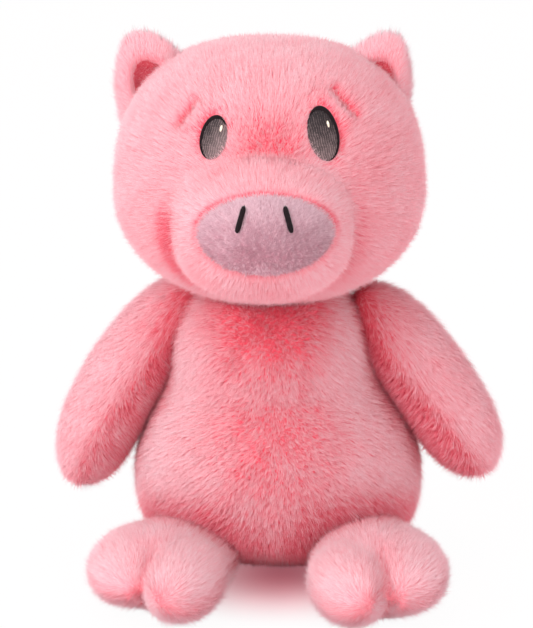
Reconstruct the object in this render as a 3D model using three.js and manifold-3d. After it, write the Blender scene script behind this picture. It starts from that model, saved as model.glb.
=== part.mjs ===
// A plush pig that sits on a flat surface, facing -Y, with its own left side at +X and +Z up.
// Sizes are in millimetres. The origin is the middle of the flattened seat, on that surface.
// Every stuffed form is a unit ball whose points a formula moves into place: its cover is the
// outer skin less the same skin drawn in, and its stuffing fills the space that this leaves.
import * as THREE from "three";
import { ConvexGeometry } from "three/addons/geometries/ConvexGeometry.js";
import { mergeVertices } from "three/addons/utils/BufferGeometryUtils.js";
import Module from "manifold-3d";

const wasm = await Module();
wasm.setup();

// Driving dimensions
const COVER = 3; // fur fabric: backing and half of its pile
const GAP = 0.4; // between pieces that touch
const SOCKET_GAP = 0.9; // between a ball of stuffing and the faceted hollow that it turns in
const SWEEP_GAP = 0.7; // between a moving form and what it passes
const SEAT_CUT = 0.5; // how far the seat and soles are pressed flat
const STUFFING_HOLE = 10; // radius of the opening that a limb was stuffed through
const DEGREE = Math.PI / 180;

const BELLY = { height: 48, reach: 56.5, halfWidth: 71.5, halfDepth: 62 };
const SEAT = { height: BELLY.height, reach: BELLY.height + SEAT_CUT }; // the belly's lower half
const CHEST = { height: 102, reach: 58, halfWidth: 54, halfDepth: 45 };
const PEAR_BLEND = 6; // how sharply the belly and chest meet
const SEAT_FULLNESS = 2.1; // of the belly's lower half
const SEAT_TUCK = { height: 30, share: 0.25 }; // how far the seam draws the seat's front in
const BODY_SHIFT = -1; // to one side

const HEAD = { bottom: 141, widest: 197, top: 271, halfWidth: 75.7, halfDepth: 61.5, forward: 6 };
const HEAD_FULLNESS = 2.5; // above its widest: 2 is an ellipsoid, more is squarer
const CHEEK_FULLNESS = 2.05; // below it
const SOFT_FULLNESS = 2.3;
const HEAD_SIDE_SHIFT = -5.3; // the soft neck lets the head sit a little to one side
const HEAD_TURN = 3 * DEGREE;
const NECK = { side: -3, height: 137, radius: 21 };
const NOD = 6 * DEGREE;
const TURN = 20 * DEGREE;

const MUZZLE = { side: -2.5, forward: 50, height: 190, halfWidth: 43.5, halfDepth: 39.5, halfHeight: 35 };
const SNOUT_PAD = { side: -0.7, height: 194.6, halfWidth: 31.8, halfHeight: 18.9 };
const NOSTRIL = { side: 11.1, shift: -1.1, height: 201.8, length: 12.4, width: 2.4, lean: 16 * DEGREE, proud: 1 };
// Hand stitched, so that the two eyes aren't quite alike: by side
const EYES = {
  1: { x: 26.2, height: 236.3, halfWidth: 7.4, halfHeight: 12.8, glint: 2.2 },
  "-1": { x: -25.6, height: 234.5, halfWidth: 6.5, halfHeight: 10.4, glint: 3.4 },
};
const EYE = { lean: 15 * DEGREE, proud: 2 };
const GLINT = { height: 4.6, halfWidth: 1, halfHeight: 2.2, proud: 0.9 };
const BROW = { side: 37.4, height: 242.5, halfLength: 8, halfWidth: 1.6, depth: 1.8, lean: 52 * DEGREE };
const EAR = { height: 248.5, back: 2, halfWidth: 20.5, halfDepth: 9.5, halfHeight: 25, lean: 21 * DEGREE };
const EAR_SIDE = { 1: 51.5, "-1": -58 };
const EAR_FULLNESS = 2.6;
const EAR_TAPER = { foot: 1.2, tip: 0.5 };
const EAR_BOWL = { halfWidth: 11, halfDepth: 7.5, halfHeight: 15.5, forward: 8.5, lower: 1 };
const EAR_LINING = 1.6;

const SHOULDER = { side: 54, height: 128, radius: 19 };
const ARMS = {
  1: { root: [36, 1, 146], elbow: [81, -5, 98.5], tip: [103.5, -12, 53.5], rootRadius: 19, pawRadius: 18 },
  "-1": { root: [34, 1, 150], elbow: [83, -5, 108.5], tip: [102, -12, 43], rootRadius: 15.5, pawRadius: 19 },
};
const ARM_MIDDLE_SWELL = 2.6;
const ARM_LIFT = 40 * DEGREE;

const HIP = { side: 38, forward: 26, height: 25.5, radius: 24 };
const TOE_OUT = 14 * DEGREE;
// A foot's forms in its own frame: distance forward of the hip, outwards from its line, and up
const FEET = {
  1: {
    instep: { forward: 29, outwards: 3, halfLength: 49, halfWidth: 29.5, halfHeight: 22.5 },
    outerToe: { forward: 50, outwards: 16, halfLength: 32, halfWidth: 18.5, halfHeight: 21 },
    innerToe: { forward: 63, outwards: -13, halfLength: 32, halfWidth: 20.5, halfHeight: 21 },
  },
  "-1": {
    instep: { forward: 28, outwards: 4, halfLength: 48, halfWidth: 32, halfHeight: 22.5 },
    outerToe: { forward: 46, outwards: 18, halfLength: 31, halfWidth: 18.5, halfHeight: 20.5 },
    innerToe: { forward: 64, outwards: -17, halfLength: 33, halfWidth: 21, halfHeight: 21 },
  },
};
const HEEL_SHARE = 0.72; // how wide the leg is at the hip, as a share of the instep
const SPLAY_OUT = 20 * DEGREE;
const SPLAY_IN = 6 * DEGREE;

const TAIL = { height: 46, radius: 5, curl: 8, turns: 1.15, reach: 22, sink: 3 };
const POUCH = { height: 20, halfWidth: 40, halfDepth: 35, halfHeight: 13 };

// How finely each form is faceted: sides round its long axis, and rings along it
const GRAINS = {
  large: { sides: 24, rings: 14 },
  limb: { sides: 12, rings: 10 },
  foot: { sides: 12, rings: 9 },
  small: { sides: 12, rings: 8 },
  inner: { sides: 12, rings: 8 },
};

const rounded = (value, fullness) => Math.sign(value) * Math.abs(value) ** (2 / fullness);
const swell = (at, { height, reach }, fullness = 2) =>
  Math.max(0, 1 - (Math.abs(at - height) / reach) ** fullness) ** (1 / fullness);
const blended = (a, b) => (a ** PEAR_BLEND + b ** PEAR_BLEND) ** (1 / PEAR_BLEND);
const smooth = (from, to, at) => THREE.MathUtils.smoothstep(at, from, to);

// A closed BufferGeometry as a solid that can be joined and cut
function solidOf(geometry) {
  const bare = geometry.clone();
  bare.deleteAttribute("normal");
  bare.deleteAttribute("uv");
  const merged = mergeVertices(bare, 1e-4);
  const mesh = new wasm.Mesh({
    numProp: 3,
    vertProperties: merged.attributes.position.array,
    triVerts: new Uint32Array(merged.index.array),
  });
  return new wasm.Manifold(mesh);
}

function geometryOf(solid) {
  const { vertProperties, triVerts } = solid.getMesh();
  const geometry = new THREE.BufferGeometry();
  geometry.setAttribute("position", new THREE.BufferAttribute(vertProperties, 3));
  geometry.setIndex(new THREE.BufferAttribute(triVerts, 1));
  return geometry;
}

// A stuffed form: place() moves each point of a unit ball, whose poles are on Z, and grow then
// moves it along the skin's normal, outwards or, where it is negative, inwards.
function stuffed(place, grain, grow = 0) {
  const ball = new THREE.SphereGeometry(1, grain.sides, grain.rings).rotateX(Math.PI / 2);
  ball.deleteAttribute("normal");
  ball.deleteAttribute("uv");
  const skin = mergeVertices(ball, 1e-5);
  const points = skin.attributes.position;
  const point = new THREE.Vector3();
  for (let i = 0; i < points.count; i++) {
    point.fromBufferAttribute(points, i);
    points.setXYZ(i, ...place(point));
  }
  skin.computeVertexNormals();
  const normals = skin.attributes.normal;
  const normal = new THREE.Vector3();
  for (let i = 0; i < points.count; i++) {
    point.fromBufferAttribute(points, i);
    point.addScaledVector(normal.fromBufferAttribute(normals, i), grow);
    points.setXYZ(i, point.x, point.y, point.z);
  }
  return solidOf(skin);
}

// An ellipsoid, fuller than a true one where fullness is over 2
function ellipsoid([x, y, z], [a, b, c], grain, { fullness = 2, grow = 0 } = {}) {
  const place = (p) => [
    x + a * rounded(p.x, fullness),
    y + b * rounded(p.y, fullness),
    z + c * rounded(p.z, fullness),
  ];
  return stuffed(place, grain, grow);
}

const BELOW_SURFACE = solidOf(new THREE.BoxGeometry(600, 600, 40).translate(0, 0, -20));

function moved(solid, position, rotation = [0, 0, 0]) {
  const matrix = new THREE.Matrix4().makeRotationFromEuler(new THREE.Euler(...rotation));
  matrix.setPosition(...position);
  return solid.transform(matrix.toArray());
}

// The solid turned about an axis through a pivot
function turned(solid, pivot, axis, angle) {
  const there = new THREE.Matrix4().makeTranslation(...pivot);
  const back = new THREE.Matrix4().makeTranslation(...pivot.map((value) => -value));
  const turn = new THREE.Matrix4().makeRotationAxis(new THREE.Vector3(...axis), angle);
  return solid.transform(there.multiply(turn).multiply(back).toArray());
}

function ball(centre, radius, grain = { sides: 14, rings: 8 }) {
  return ellipsoid(centre, [radius, radius, radius], grain);
}

const joined = (solids) => solids.reduce((sum, solid) => sum.add(solid));
const less = (solid, ...cuts) => cuts.reduce((left, cut) => left.subtract(cut), solid);

function pointsOf(solid) {
  const { position } = geometryOf(solid).attributes;
  return Array.from({ length: position.count }, (_, i) => new THREE.Vector3().fromBufferAttribute(position, i));
}

// The room that a rounded form needs as it turns about a pivot by each of the angles
function roomFor(solid, pivot, axis, angles) {
  const points = angles.flatMap((angle) => pointsOf(turned(solid, pivot, axis, angle)));
  return solidOf(new ConvexGeometry(points));
}

// The body: a wide belly blended into a narrower chest, flat where it sits
function bodyForm(grain, grow = 0) {
  const low = SEAT.height - SEAT.reach; // the seat's cut below the surface
  const high = CHEST.height + CHEST.reach;
  const place = (p) => {
    const z = THREE.MathUtils.lerp(low, high, (1 + p.z) / 2);
    const round = Math.hypot(p.x, p.y) || 1;
    const belly = z < SEAT.height ? swell(z, SEAT, SEAT_FULLNESS) : swell(z, BELLY);
    const chest = swell(z, CHEST);
    const width = blended(belly * BELLY.halfWidth, chest * CHEST.halfWidth);
    const depth = blended(belly * BELLY.halfDepth, chest * CHEST.halfDepth);
    const tuck = p.y < 0 ? 1 - SEAT_TUCK.share * (1 - smooth(0, SEAT_TUCK.height, z)) : 1;
    return [(width * p.x) / round + BODY_SHIFT, (depth * tuck * p.y) / round, z];
  };
  return stuffed(place, grain, grow).subtract(BELOW_SURFACE);
}

// The head's own frame, which its side shift and turn carry into the body's
const HEAD_FRAME = new THREE.Matrix4().makeRotationZ(HEAD_TURN).setPosition(HEAD_SIDE_SHIFT, 0, 0);
const onHead = (solid) => solid.transform(HEAD_FRAME.toArray());

// The reach of the head's upper or lower half, and how full it is
const headHalf = (upper) =>
  upper
    ? { reach: HEAD.top - HEAD.widest, fullness: HEAD_FULLNESS }
    : { reach: HEAD.widest - HEAD.bottom, fullness: CHEEK_FULLNESS };

function headForm(grain, grow = 0) {
  const place = (p) => {
    const { reach, fullness } = headHalf(p.z > 0);
    const level = rounded(p.z, fullness);
    const round = Math.hypot(p.x, p.y);
    const share = rounded(round, fullness);
    return [
      HEAD.halfWidth * share * rounded(p.x / (round || 1), SOFT_FULLNESS),
      HEAD.halfDepth * share * rounded(p.y / (round || 1), SOFT_FULLNESS) - HEAD.forward,
      HEAD.widest + reach * level,
    ];
  };
  return stuffed(place, grain, grow);
}

// How far forward the head's skin is at a place on its face
function facePoint(x, z) {
  const { reach, fullness } = headHalf(z > HEAD.widest);
  const level = Math.abs(z - HEAD.widest) / reach;
  const share = (1 - level ** fullness) ** (1 / fullness);
  const across = Math.abs(x) / (HEAD.halfWidth * share);
  const depth = HEAD.halfDepth * share * (1 - across ** SOFT_FULLNESS) ** (1 / SOFT_FULLNESS);
  return [x, -HEAD.forward - depth, z];
}

// The turns about Z and X that lay a flat piece, facing -Y, on the face there
function faceLie(x, z, step = 1) {
  const slopeX = (facePoint(x + step, z)[1] - facePoint(x - step, z)[1]) / (2 * step);
  const slopeZ = (facePoint(x, z + step)[1] - facePoint(x, z - step)[1]) / (2 * step);
  return { yaw: Math.atan(slopeX), pitch: -Math.atan(slopeZ * Math.cos(Math.atan(slopeX))) };
}

// A flat piece made round the origin, facing -Y, leaned in its own plane and laid on the face
function laidOnFace(solid, x, z, lean) {
  const { yaw, pitch } = faceLie(x, z);
  const leaned = moved(solid, [0, 0, 0], [0, lean, 0]);
  const tipped = moved(leaned, [0, 0, 0], [pitch, 0, 0]);
  return moved(tipped, facePoint(x, z), [0, 0, yaw]);
}

function muzzleForm(grain, grow = 0) {
  const centre = [MUZZLE.side, -MUZZLE.forward, MUZZLE.height];
  const size = [MUZZLE.halfWidth, MUZZLE.halfDepth, MUZZLE.halfHeight];
  return ellipsoid(centre, size, grain, { fullness: SOFT_FULLNESS, grow });
}

// A bar with an oval section, running forward through the front of the muzzle
function snoutCutter(grow) {
  const oval = new THREE.Shape();
  oval.absellipse(0, 0, SNOUT_PAD.halfWidth + grow, SNOUT_PAD.halfHeight + grow, 0, 2 * Math.PI);
  const length = MUZZLE.halfDepth;
  const bar = new THREE.ExtrudeGeometry(oval, { depth: length, bevelEnabled: false, curveSegments: 18 });
  bar.rotateX(Math.PI / 2).translate(SNOUT_PAD.side, -MUZZLE.forward - 8, SNOUT_PAD.height);
  return solidOf(bar);
}

// An ear: a leaf that narrows towards its tip, hollowed in front
function earForm(side) {
  const place = (p) => {
    const taper = THREE.MathUtils.lerp(EAR_TAPER.foot, EAR_TAPER.tip, smooth(-1, 1.2, p.z));
    return [
      EAR.halfWidth * taper * rounded(p.x, EAR_FULLNESS),
      EAR.halfDepth * taper * p.y,
      EAR.halfHeight * rounded(p.z, EAR_FULLNESS),
    ];
  };
  return { whole: stuffed(place, { sides: 16, rings: 9 }), place: (solid) => earPlace(solid, side) };
}

function earPlace(solid, side) {
  return moved(solid, [EAR_SIDE[side], EAR.back, EAR.height], [0, side * EAR.lean, 0]);
}

function earBowl(forward, grow) {
  const size = [EAR_BOWL.halfWidth, EAR_BOWL.halfDepth, EAR_BOWL.halfHeight].map((half) => half + grow);
  return ellipsoid([0, -forward, -EAR_BOWL.lower], size, GRAINS.small);
}

// An arm: a curved line from inside the shoulder to the paw, round at both ends
function armForm(side, grain, grow = 0) {
  const mirrored = ([x, y, z]) => new THREE.Vector3(side * x, y, z);
  const { root, elbow, tip, rootRadius, pawRadius } = ARMS[side];
  const line = new THREE.QuadraticBezierCurve3(...[root, elbow, tip].map(mirrored));
  const front = new THREE.Vector3(0, -1, 0);
  const place = (p) => {
    const along = (1 - p.z) / 2;
    const fullest = THREE.MathUtils.lerp(rootRadius, pawRadius, along) + ARM_MIDDLE_SWELL * (1 - p.z ** 2);
    const radius = fullest * Math.sqrt(Math.max(0, 1 - Math.abs(p.z) ** 4));
    const centre = line.getPoint(along);
    const out = line.getTangent(along).cross(front).normalize();
    const fore = new THREE.Vector3().crossVectors(out, line.getTangent(along));
    const round = Math.hypot(p.x, p.y) || 1;
    centre.addScaledVector(out, (radius * p.x) / round);
    centre.addScaledVector(fore, (radius * p.y) / round);
    return centre.toArray();
  };
  return stuffed(place, grain, grow);
}

// A foot's instep or toe, turned out with its foot
function footLobe(side, lobe, grain, grow, narrowing = () => 1) {
  const lift = lobe.halfHeight - SEAT_CUT;
  const place = (p) => {
    const along = lobe.halfLength * rounded(p.z, SOFT_FULLNESS);
    const across = lobe.halfWidth * rounded(p.x, SOFT_FULLNESS) * narrowing(along / lobe.halfLength);
    const forward = lobe.forward + along;
    const outwards = side * lobe.outwards + across;
    return [
      side * HIP.side + side * forward * Math.sin(TOE_OUT) + outwards * Math.cos(TOE_OUT),
      -HIP.forward - forward * Math.cos(TOE_OUT) + side * outwards * Math.sin(TOE_OUT),
      lift + lobe.halfHeight * rounded(p.y, SOFT_FULLNESS),
    ];
  };
  return stuffed(place, grain, grow);
}

// A leg and its foot: an instep that narrows to the hip, with two toes, all pressed flat underneath
function footForm(side, grain, grow = 0) {
  const heel = (share) => THREE.MathUtils.lerp(HEEL_SHARE, 1, smooth(-1, 0.4, share));
  return joined([
    footLobe(side, FEET[side].instep, grain, grow, heel),
    footLobe(side, FEET[side].outerToe, grain, grow),
    footLobe(side, FEET[side].innerToe, grain, grow),
  ]).subtract(BELOW_SURFACE);
}

const SIDES = [-1, 1];
const neckPivot = [NECK.side, 0, NECK.height];
const spread = (from, to, count) =>
  Array.from({ length: count }, (_, i) => THREE.MathUtils.lerp(from, to, i / (count - 1)));

// The room for the head as it nods and turns, which is taken off the top of the body
function headRoom() {
  const head = onHead(headForm(GRAINS.large, SWEEP_GAP));
  const turning = roomFor(head, neckPivot, [0, 0, 1], spread(-TURN, TURN, 5));
  return roomFor(turning, neckPivot, [1, 0, 0], spread(-NOD, NOD, 3));
}

// A limb with a ball for a root: past that ball, it is cut to clear the body at every angle
function limbInSocket(limb, { pivot, radius, axis, angles }) {
  const bodyRoom = roomFor(bodyForm(GRAINS.large, SWEEP_GAP), pivot, axis, angles);
  return limb.subtract(bodyRoom).add(limb.intersect(ball(pivot, radius)));
}

// A limb's cover, open at its root, and its stuffing
function stuffedLimb(form, grain, joint) {
  const whole = limbInSocket(form(grain), joint);
  const drawnIn = form(GRAINS.inner, -COVER);
  const filled = form(GRAINS.inner, -COVER - GAP);
  return {
    cover: less(whole, drawnIn, ball(joint.opening, STUFFING_HOLE, GRAINS.small)),
    stuffing: whole.intersect(filled),
  };
}

function arm(side) {
  const joint = {
    pivot: [side * SHOULDER.side, 0, SHOULDER.height],
    radius: SHOULDER.radius,
    axis: [0, 1, 0],
    angles: spread(0, ARM_LIFT, 3).map((angle) => side * angle),
    opening: [side * 43, 1, 143],
  };
  const form = (grain, grow) => armForm(side, grain, grow).subtract(headRoom());
  return stuffedLimb(form, GRAINS.limb, joint);
}

function leg(side) {
  const joint = {
    pivot: [side * HIP.side, -HIP.forward, HIP.height],
    radius: HIP.radius,
    axis: [0, 0, 1],
    angles: spread(-SPLAY_OUT, SPLAY_IN, 5).map((angle) => side * angle),
    opening: [side * (HIP.side - 5), 20 - HIP.forward, HIP.height],
  };
  return stuffedLimb((grain, grow) => footForm(side, grain, grow), GRAINS.foot, joint);
}

const hipSockets = () =>
  SIDES.map((side) => ball([side * HIP.side, -HIP.forward, HIP.height], HIP.radius + SOCKET_GAP));
const shoulderSockets = () =>
  SIDES.map((side) => ball([side * SHOULDER.side, 0, SHOULDER.height], SHOULDER.radius + SOCKET_GAP));

// The body's cover and stuffing, with a socket for each limb, and the pouch that weighs the seat
function body() {
  const neckSocket = ball(neckPivot, NECK.radius + SOCKET_GAP);
  const sockets = [...hipSockets(), ...shoulderSockets(), neckSocket, headRoom()];
  const whole = less(bodyForm(GRAINS.large), ...sockets);
  const pouchCentre = [0, 0, POUCH.height];
  const pouchSize = [POUCH.halfWidth, POUCH.halfDepth, POUCH.halfHeight];
  const pouchSpace = ellipsoid(pouchCentre, pouchSize, GRAINS.inner, { grow: GAP });
  return {
    cover: whole.subtract(bodyForm(GRAINS.inner, -COVER)),
    stuffing: whole.intersect(bodyForm(GRAINS.inner, -COVER - GAP)).subtract(pouchSpace),
    pouch: less(ellipsoid(pouchCentre, pouchSize, GRAINS.inner), ...hipSockets()),
  };
}

// The stitched tuck over an eye, as the groove that it pulls into the cover
function browTuck(side) {
  const size = [BROW.halfLength, BROW.depth, BROW.halfWidth];
  return laidOnFace(ellipsoid([0, 0, 0], size, GRAINS.small), side * BROW.side, BROW.height, side * BROW.lean);
}

function head() {
  const skull = headForm(GRAINS.large);
  const muzzle = muzzleForm(GRAINS.large);
  const muzzleInside = muzzleForm(GRAINS.inner, -COVER);
  const cavity = joined([headForm(GRAINS.inner, -COVER), muzzleInside]);
  const filled = joined([headForm(GRAINS.inner, -COVER - GAP), muzzleForm(GRAINS.inner, -COVER - GAP)]);
  const neckHole = ball(neckPivot, NECK.radius + SOCKET_GAP);
  const unshifted = HEAD_FRAME.clone().invert();
  const neckHoleOnHead = neckHole.transform(unshifted.toArray());
  const seam = headForm(GRAINS.large, GAP);
  return {
    cover: less(skull, cavity, neckHoleOnHead, browTuck(-1), browTuck(1)),
    stuffing: less(filled, neckHoleOnHead),
    muzzle: less(muzzle, muzzleInside, seam, snoutCutter(GAP)),
    pad: muzzle.subtract(muzzleInside).intersect(snoutCutter(0)).subtract(seam),
  };
}

// A thread bar sewn into the snout pad, standing a little proud of it
function nostril(side) {
  const half = (NOSTRIL.length - NOSTRIL.width) / 2;
  const outline = new THREE.Shape();
  outline.absarc(0, half, NOSTRIL.width / 2, 0, Math.PI);
  outline.absarc(0, -half, NOSTRIL.width / 2, Math.PI, 2 * Math.PI);
  const depth = MUZZLE.halfDepth;
  const bar = new THREE.ExtrudeGeometry(outline, { depth, bevelEnabled: false, curveSegments: 6 });
  bar.rotateX(Math.PI / 2);
  const placed = moved(
    solidOf(bar),
    [side * NOSTRIL.side + NOSTRIL.shift, -MUZZLE.forward, NOSTRIL.height],
    [0, side * -NOSTRIL.lean, 0],
  );
  const proud = muzzleForm(GRAINS.large, NOSTRIL.proud + GAP);
  return placed.intersect(proud).subtract(muzzleForm(GRAINS.large, GAP));
}

// An embroidered eye: a shallow dome that lies on the face
function eyeDome(side, grow = 0) {
  const { x, height, halfWidth, halfHeight } = EYES[side];
  const size = [halfWidth + grow, EYE.proud + grow, halfHeight + grow];
  const dome = ellipsoid([0, 0, 0], size, { sides: 16, rings: 10 });
  return laidOnFace(dome, x, height, side * -EYE.lean);
}

// The pale stitches that give each eye its shine, on the same side of both, and over the eye's own
function glint(side) {
  const x = EYES[side].x + EYES[side].glint;
  const z = EYES[side].height + GLINT.height;
  const size = [GLINT.halfWidth, 4 * EYE.proud, GLINT.halfHeight];
  const patch = laidOnFace(ellipsoid([0, 0, 0], size, GRAINS.small), x, z, -EYE.lean);
  const over = patch.intersect(eyeDome(side, GAP + GLINT.proud));
  return less(over, eyeDome(side, GAP), headForm(GRAINS.large, GAP));
}

function ear(side) {
  const { whole, place } = earForm(side);
  const skull = headForm(GRAINS.large, GAP);
  const hollowed = whole.subtract(earBowl(EAR_BOWL.forward, 0));
  const lining = whole.intersect(earBowl(EAR_BOWL.forward, -GAP)).subtract(earBowl(EAR_BOWL.forward + EAR_LINING, -GAP));
  return { back: place(hollowed).subtract(skull), lining: place(lining).subtract(skull) };
}

// The tail's line: out from the back of the seat, curling once round as it goes
class TailLine extends THREE.Curve {
  getPoint(along, target = new THREE.Vector3()) {
    const turn = 2 * Math.PI * TAIL.turns * along;
    const curl = TAIL.curl * smooth(0, 0.35, along);
    const start = BELLY.halfDepth * swell(TAIL.height, BELLY) - TAIL.sink;
    return target.set(
      curl * Math.sin(turn),
      start + TAIL.reach * along,
      TAIL.height + curl * (1 - Math.cos(turn)),
    );
  }
}

function tail() {
  const line = new TailLine();
  const section = new THREE.Shape().absarc(0, 0, TAIL.radius, 0, 2 * Math.PI);
  const tube = new THREE.ExtrudeGeometry(section, { extrudePath: line, steps: 18, curveSegments: 4 });
  const end = ball(line.getPoint(1).toArray(), TAIL.radius, { sides: 8, rings: 6 });
  return joined([solidOf(tube), end]).subtract(bodyForm(GRAINS.large, GAP));
}

const FUR = new THREE.MeshStandardMaterial({ color: 0xf2a1ad, roughness: 0.95, metalness: 0 });
const PAD_PLUSH = new THREE.MeshStandardMaterial({ color: 0xcfa3b0, roughness: 0.9, metalness: 0 });
const LINING = new THREE.MeshStandardMaterial({ color: 0xd9788a, roughness: 0.9, metalness: 0 });
const EYE_THREAD = new THREE.MeshStandardMaterial({ color: 0x4f4446, roughness: 0.45, metalness: 0 });
const DARK_THREAD = new THREE.MeshStandardMaterial({ color: 0x2a1016, roughness: 0.5, metalness: 0 });
const PALE_THREAD = new THREE.MeshStandardMaterial({ color: 0xe9d9c8, roughness: 0.4, metalness: 0 });
const FIBRE = new THREE.MeshStandardMaterial({ color: 0xf4f2ee, roughness: 1, metalness: 0 });
const POUCH_CLOTH = new THREE.MeshStandardMaterial({ color: 0xe8e4da, roughness: 0.9, metalness: 0 });

const pig = new THREE.Group();
const sew = (name, solid, material, parent = pig) => {
  const mesh = new THREE.Mesh(geometryOf(solid), material);
  mesh.name = name;
  parent.add(mesh);
};

const torso = body();
sew("body_cover", torso.cover, FUR);
sew("body_stuffing", torso.stuffing, FIBRE);
sew("pellet_pouch", torso.pouch, POUCH_CLOTH);
sew("neck_stuffing", ball(neckPivot, NECK.radius), FIBRE);
sew("tail", tail(), FUR);

const headGroup = new THREE.Group();
headGroup.applyMatrix4(HEAD_FRAME);
pig.add(headGroup);
const skull = head();
sew("head_cover", skull.cover, FUR, headGroup);
sew("head_stuffing", skull.stuffing, FIBRE, headGroup);
sew("muzzle_cover", skull.muzzle, FUR, headGroup);
sew("snout_pad", skull.pad, PAD_PLUSH, headGroup);

for (const [name, side] of [["left", 1], ["right", -1]]) {
  const { back, lining } = ear(side);
  sew(`ear_${name}_back`, back, FUR, headGroup);
  sew(`ear_${name}_lining`, lining, LINING, headGroup);
  sew(`eye_${name}`, eyeDome(side).subtract(headForm(GRAINS.large, GAP)), EYE_THREAD, headGroup);
  sew(`eye_glint_${name}`, glint(side), PALE_THREAD, headGroup);
  sew(`nostril_${name}`, nostril(side), DARK_THREAD, headGroup);
  const upper = arm(side);
  sew(`arm_${name}_cover`, upper.cover, FUR);
  sew(`arm_${name}_stuffing`, upper.stuffing, FIBRE);
  const lower = leg(side);
  sew(`leg_${name}_cover`, lower.cover, FUR);
  sew(`leg_${name}_stuffing`, lower.stuffing, FIBRE);
}

export default pig;
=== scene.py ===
"""The look of a sitting plush pig: stuffed skins, each covered in its own fur, with stitched eyes
and nostrils. Lengths are in millimetres until a mesh is made. The pig faces -Y and +Z is up."""

import math

import bpy
import numpy as np
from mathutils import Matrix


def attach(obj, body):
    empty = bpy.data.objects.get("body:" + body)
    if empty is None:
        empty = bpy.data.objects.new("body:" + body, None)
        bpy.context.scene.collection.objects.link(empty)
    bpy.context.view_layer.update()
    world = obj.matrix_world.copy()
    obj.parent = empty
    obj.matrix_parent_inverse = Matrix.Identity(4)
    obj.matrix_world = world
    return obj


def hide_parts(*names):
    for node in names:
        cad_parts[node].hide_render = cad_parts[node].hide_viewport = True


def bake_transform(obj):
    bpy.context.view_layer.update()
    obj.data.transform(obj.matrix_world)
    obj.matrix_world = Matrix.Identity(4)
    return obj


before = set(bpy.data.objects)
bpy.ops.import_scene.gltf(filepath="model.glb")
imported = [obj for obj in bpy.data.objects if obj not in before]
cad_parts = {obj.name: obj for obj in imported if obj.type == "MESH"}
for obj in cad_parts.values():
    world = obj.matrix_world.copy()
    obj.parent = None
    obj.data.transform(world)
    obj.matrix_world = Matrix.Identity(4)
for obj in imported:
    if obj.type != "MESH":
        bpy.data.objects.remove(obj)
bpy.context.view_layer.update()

MM = 0.001
TURN = 2 * math.pi

# The photograph's frame and viewpoint
PHOTO_WIDTH = 533
PHOTO_HEIGHT = 628
PIXEL_MM = 0.512  # at the toy's middle
CAMERA_DISTANCE = 1450
CAMERA_AZIMUTH = math.radians(4)
CAMERA_ELEVATION = math.radians(16)
SEAT_PIXEL = (280, 561)

# The forms' sizes: the solids' own, or a little inside them
SIDES = (("left", 1), ("right", -1))
BELLY = dict(height=48, reach=56.5, below=48.5, width=72.5, depth=63)
BODY_SHIFT = -1
CHEST = dict(height=102, reach=58, width=55, depth=46)
PEAR_BLEND = 4.5
SEAT_TUCK = dict(height=30, share=0.46)  # how far the seam draws the seat's front in
WAIST = dict(height=112, reach=16, share=0.06)
LEAN = dict(low=75, high=125, shift=-4)  # of the body, towards the head's place
BODY_TOP = 160
HEAD = dict(bottom=141, widest=197, top=272, width=76.2, depth=62, forward=6)
HEAD_FULLNESS = 2.5  # above its widest
CHEEK_FULLNESS = 2.05  # below it
SOFT_FULLNESS = 2.3
HEAD_SHIFT = -5.3
HEAD_TURN = math.radians(3)
NECK = dict(side=-3, height=137, radius=21.2)
MUZZLE = dict(centre=(-2.5, -50, 190), size=(44, 40, 35.5))
PAD = dict(side=-0.7, height=193, width=31.8, rise=18.5)
EYE = {  # by side: its middle, its half width and half height
    1: dict(side=26.2, height=236.3, width=6.8, rise=12.2),
    -1: dict(side=-25.6, height=234.5, width=5.9, rise=9.8),
}
EYE_LEAN = math.radians(15)
EYE_TONE = {  # by side: the middle's, and how much paler it grows downwards and inwards
    1: dict(middle=0.06, down=0.2, inwards=0.05),
    -1: dict(middle=0.18, down=0.12, inwards=0.2),
}
RIM_THICKEST = {1: math.radians(25), -1: math.radians(155)}  # where on the eye's outline
GLINT = dict(side={1: 2.2, -1: 3.6}, up=4.6, width=0.55, rise=1.5)
NOSTRIL = dict(side=11.1, shift=-1.1, height=201.8, width=1.25, rise=6.2, lean=math.radians(16))
BROW = {  # by side, as the head is stitched a little askew; tone is how much deeper the tuck's fur is painted, as shade in its crease
    1: dict(side=35.4, height=247.8, half_length=9, lean=math.radians(48), tone=0.42),
    -1: dict(side=37.4, height=242.8, half_length=9, lean=math.radians(54), tone=0.28),
}
EAR = dict(side={1: 51.5, -1: -58}, height=248.5, back=2, width=20.5, depth=9.5, rise=25.5)
EAR_LEAN = math.radians(21)
EAR_FULLNESS = 2.6
EAR_BULGE = {1: 0.14, -1: 0.24}  # of its inner side
CUP = dict(drop=1, width=10, rise=15, depth=4.5)
ARM_LINE = {  # by side: from the root, drawn towards the elbow, to the tip
    1: np.array([(36, 8, 144.6), (81, 2, 97.5), (103.5, -11, 53.5)], float),
    -1: np.array([(35, 8, 149), (85, 2, 105), (102, -11, 43)], float),
}
ARM_RADIUS = {1: (20, 19), -1: (18, 20)}
HIP = (38, -26)
TOE_OUT = math.radians(14)
LOBES = {  # by side: forward of the hip, outwards, up, then half sizes, of the instep and the toes
    1: np.array(
        [(36, 3, 22, 48, 32, 22), (48.5, 15, 23.6, 33, 22.5, 19.2), (61, -14.5, 22.8, 31.5, 20.5, 19.2)]
    ),
    -1: np.array(
        [(35, 4, 20.5, 46, 33.5, 20.2), (46, 19, 21.7, 33, 22, 18.6), (61.5, -14, 22.4, 31.5, 19.5, 19)]
    ),
}
LOBE_BLEND = 22  # the power by which the lobes run into each other
CLEFT = {1: 1.5, -1: 5}  # how far out from the foot's line its toes part
FOOT_HEART = {1: np.array([46, 2, 21.5]), -1: np.array([50, 1, 21.5])}  # inside all three lobes
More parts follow.
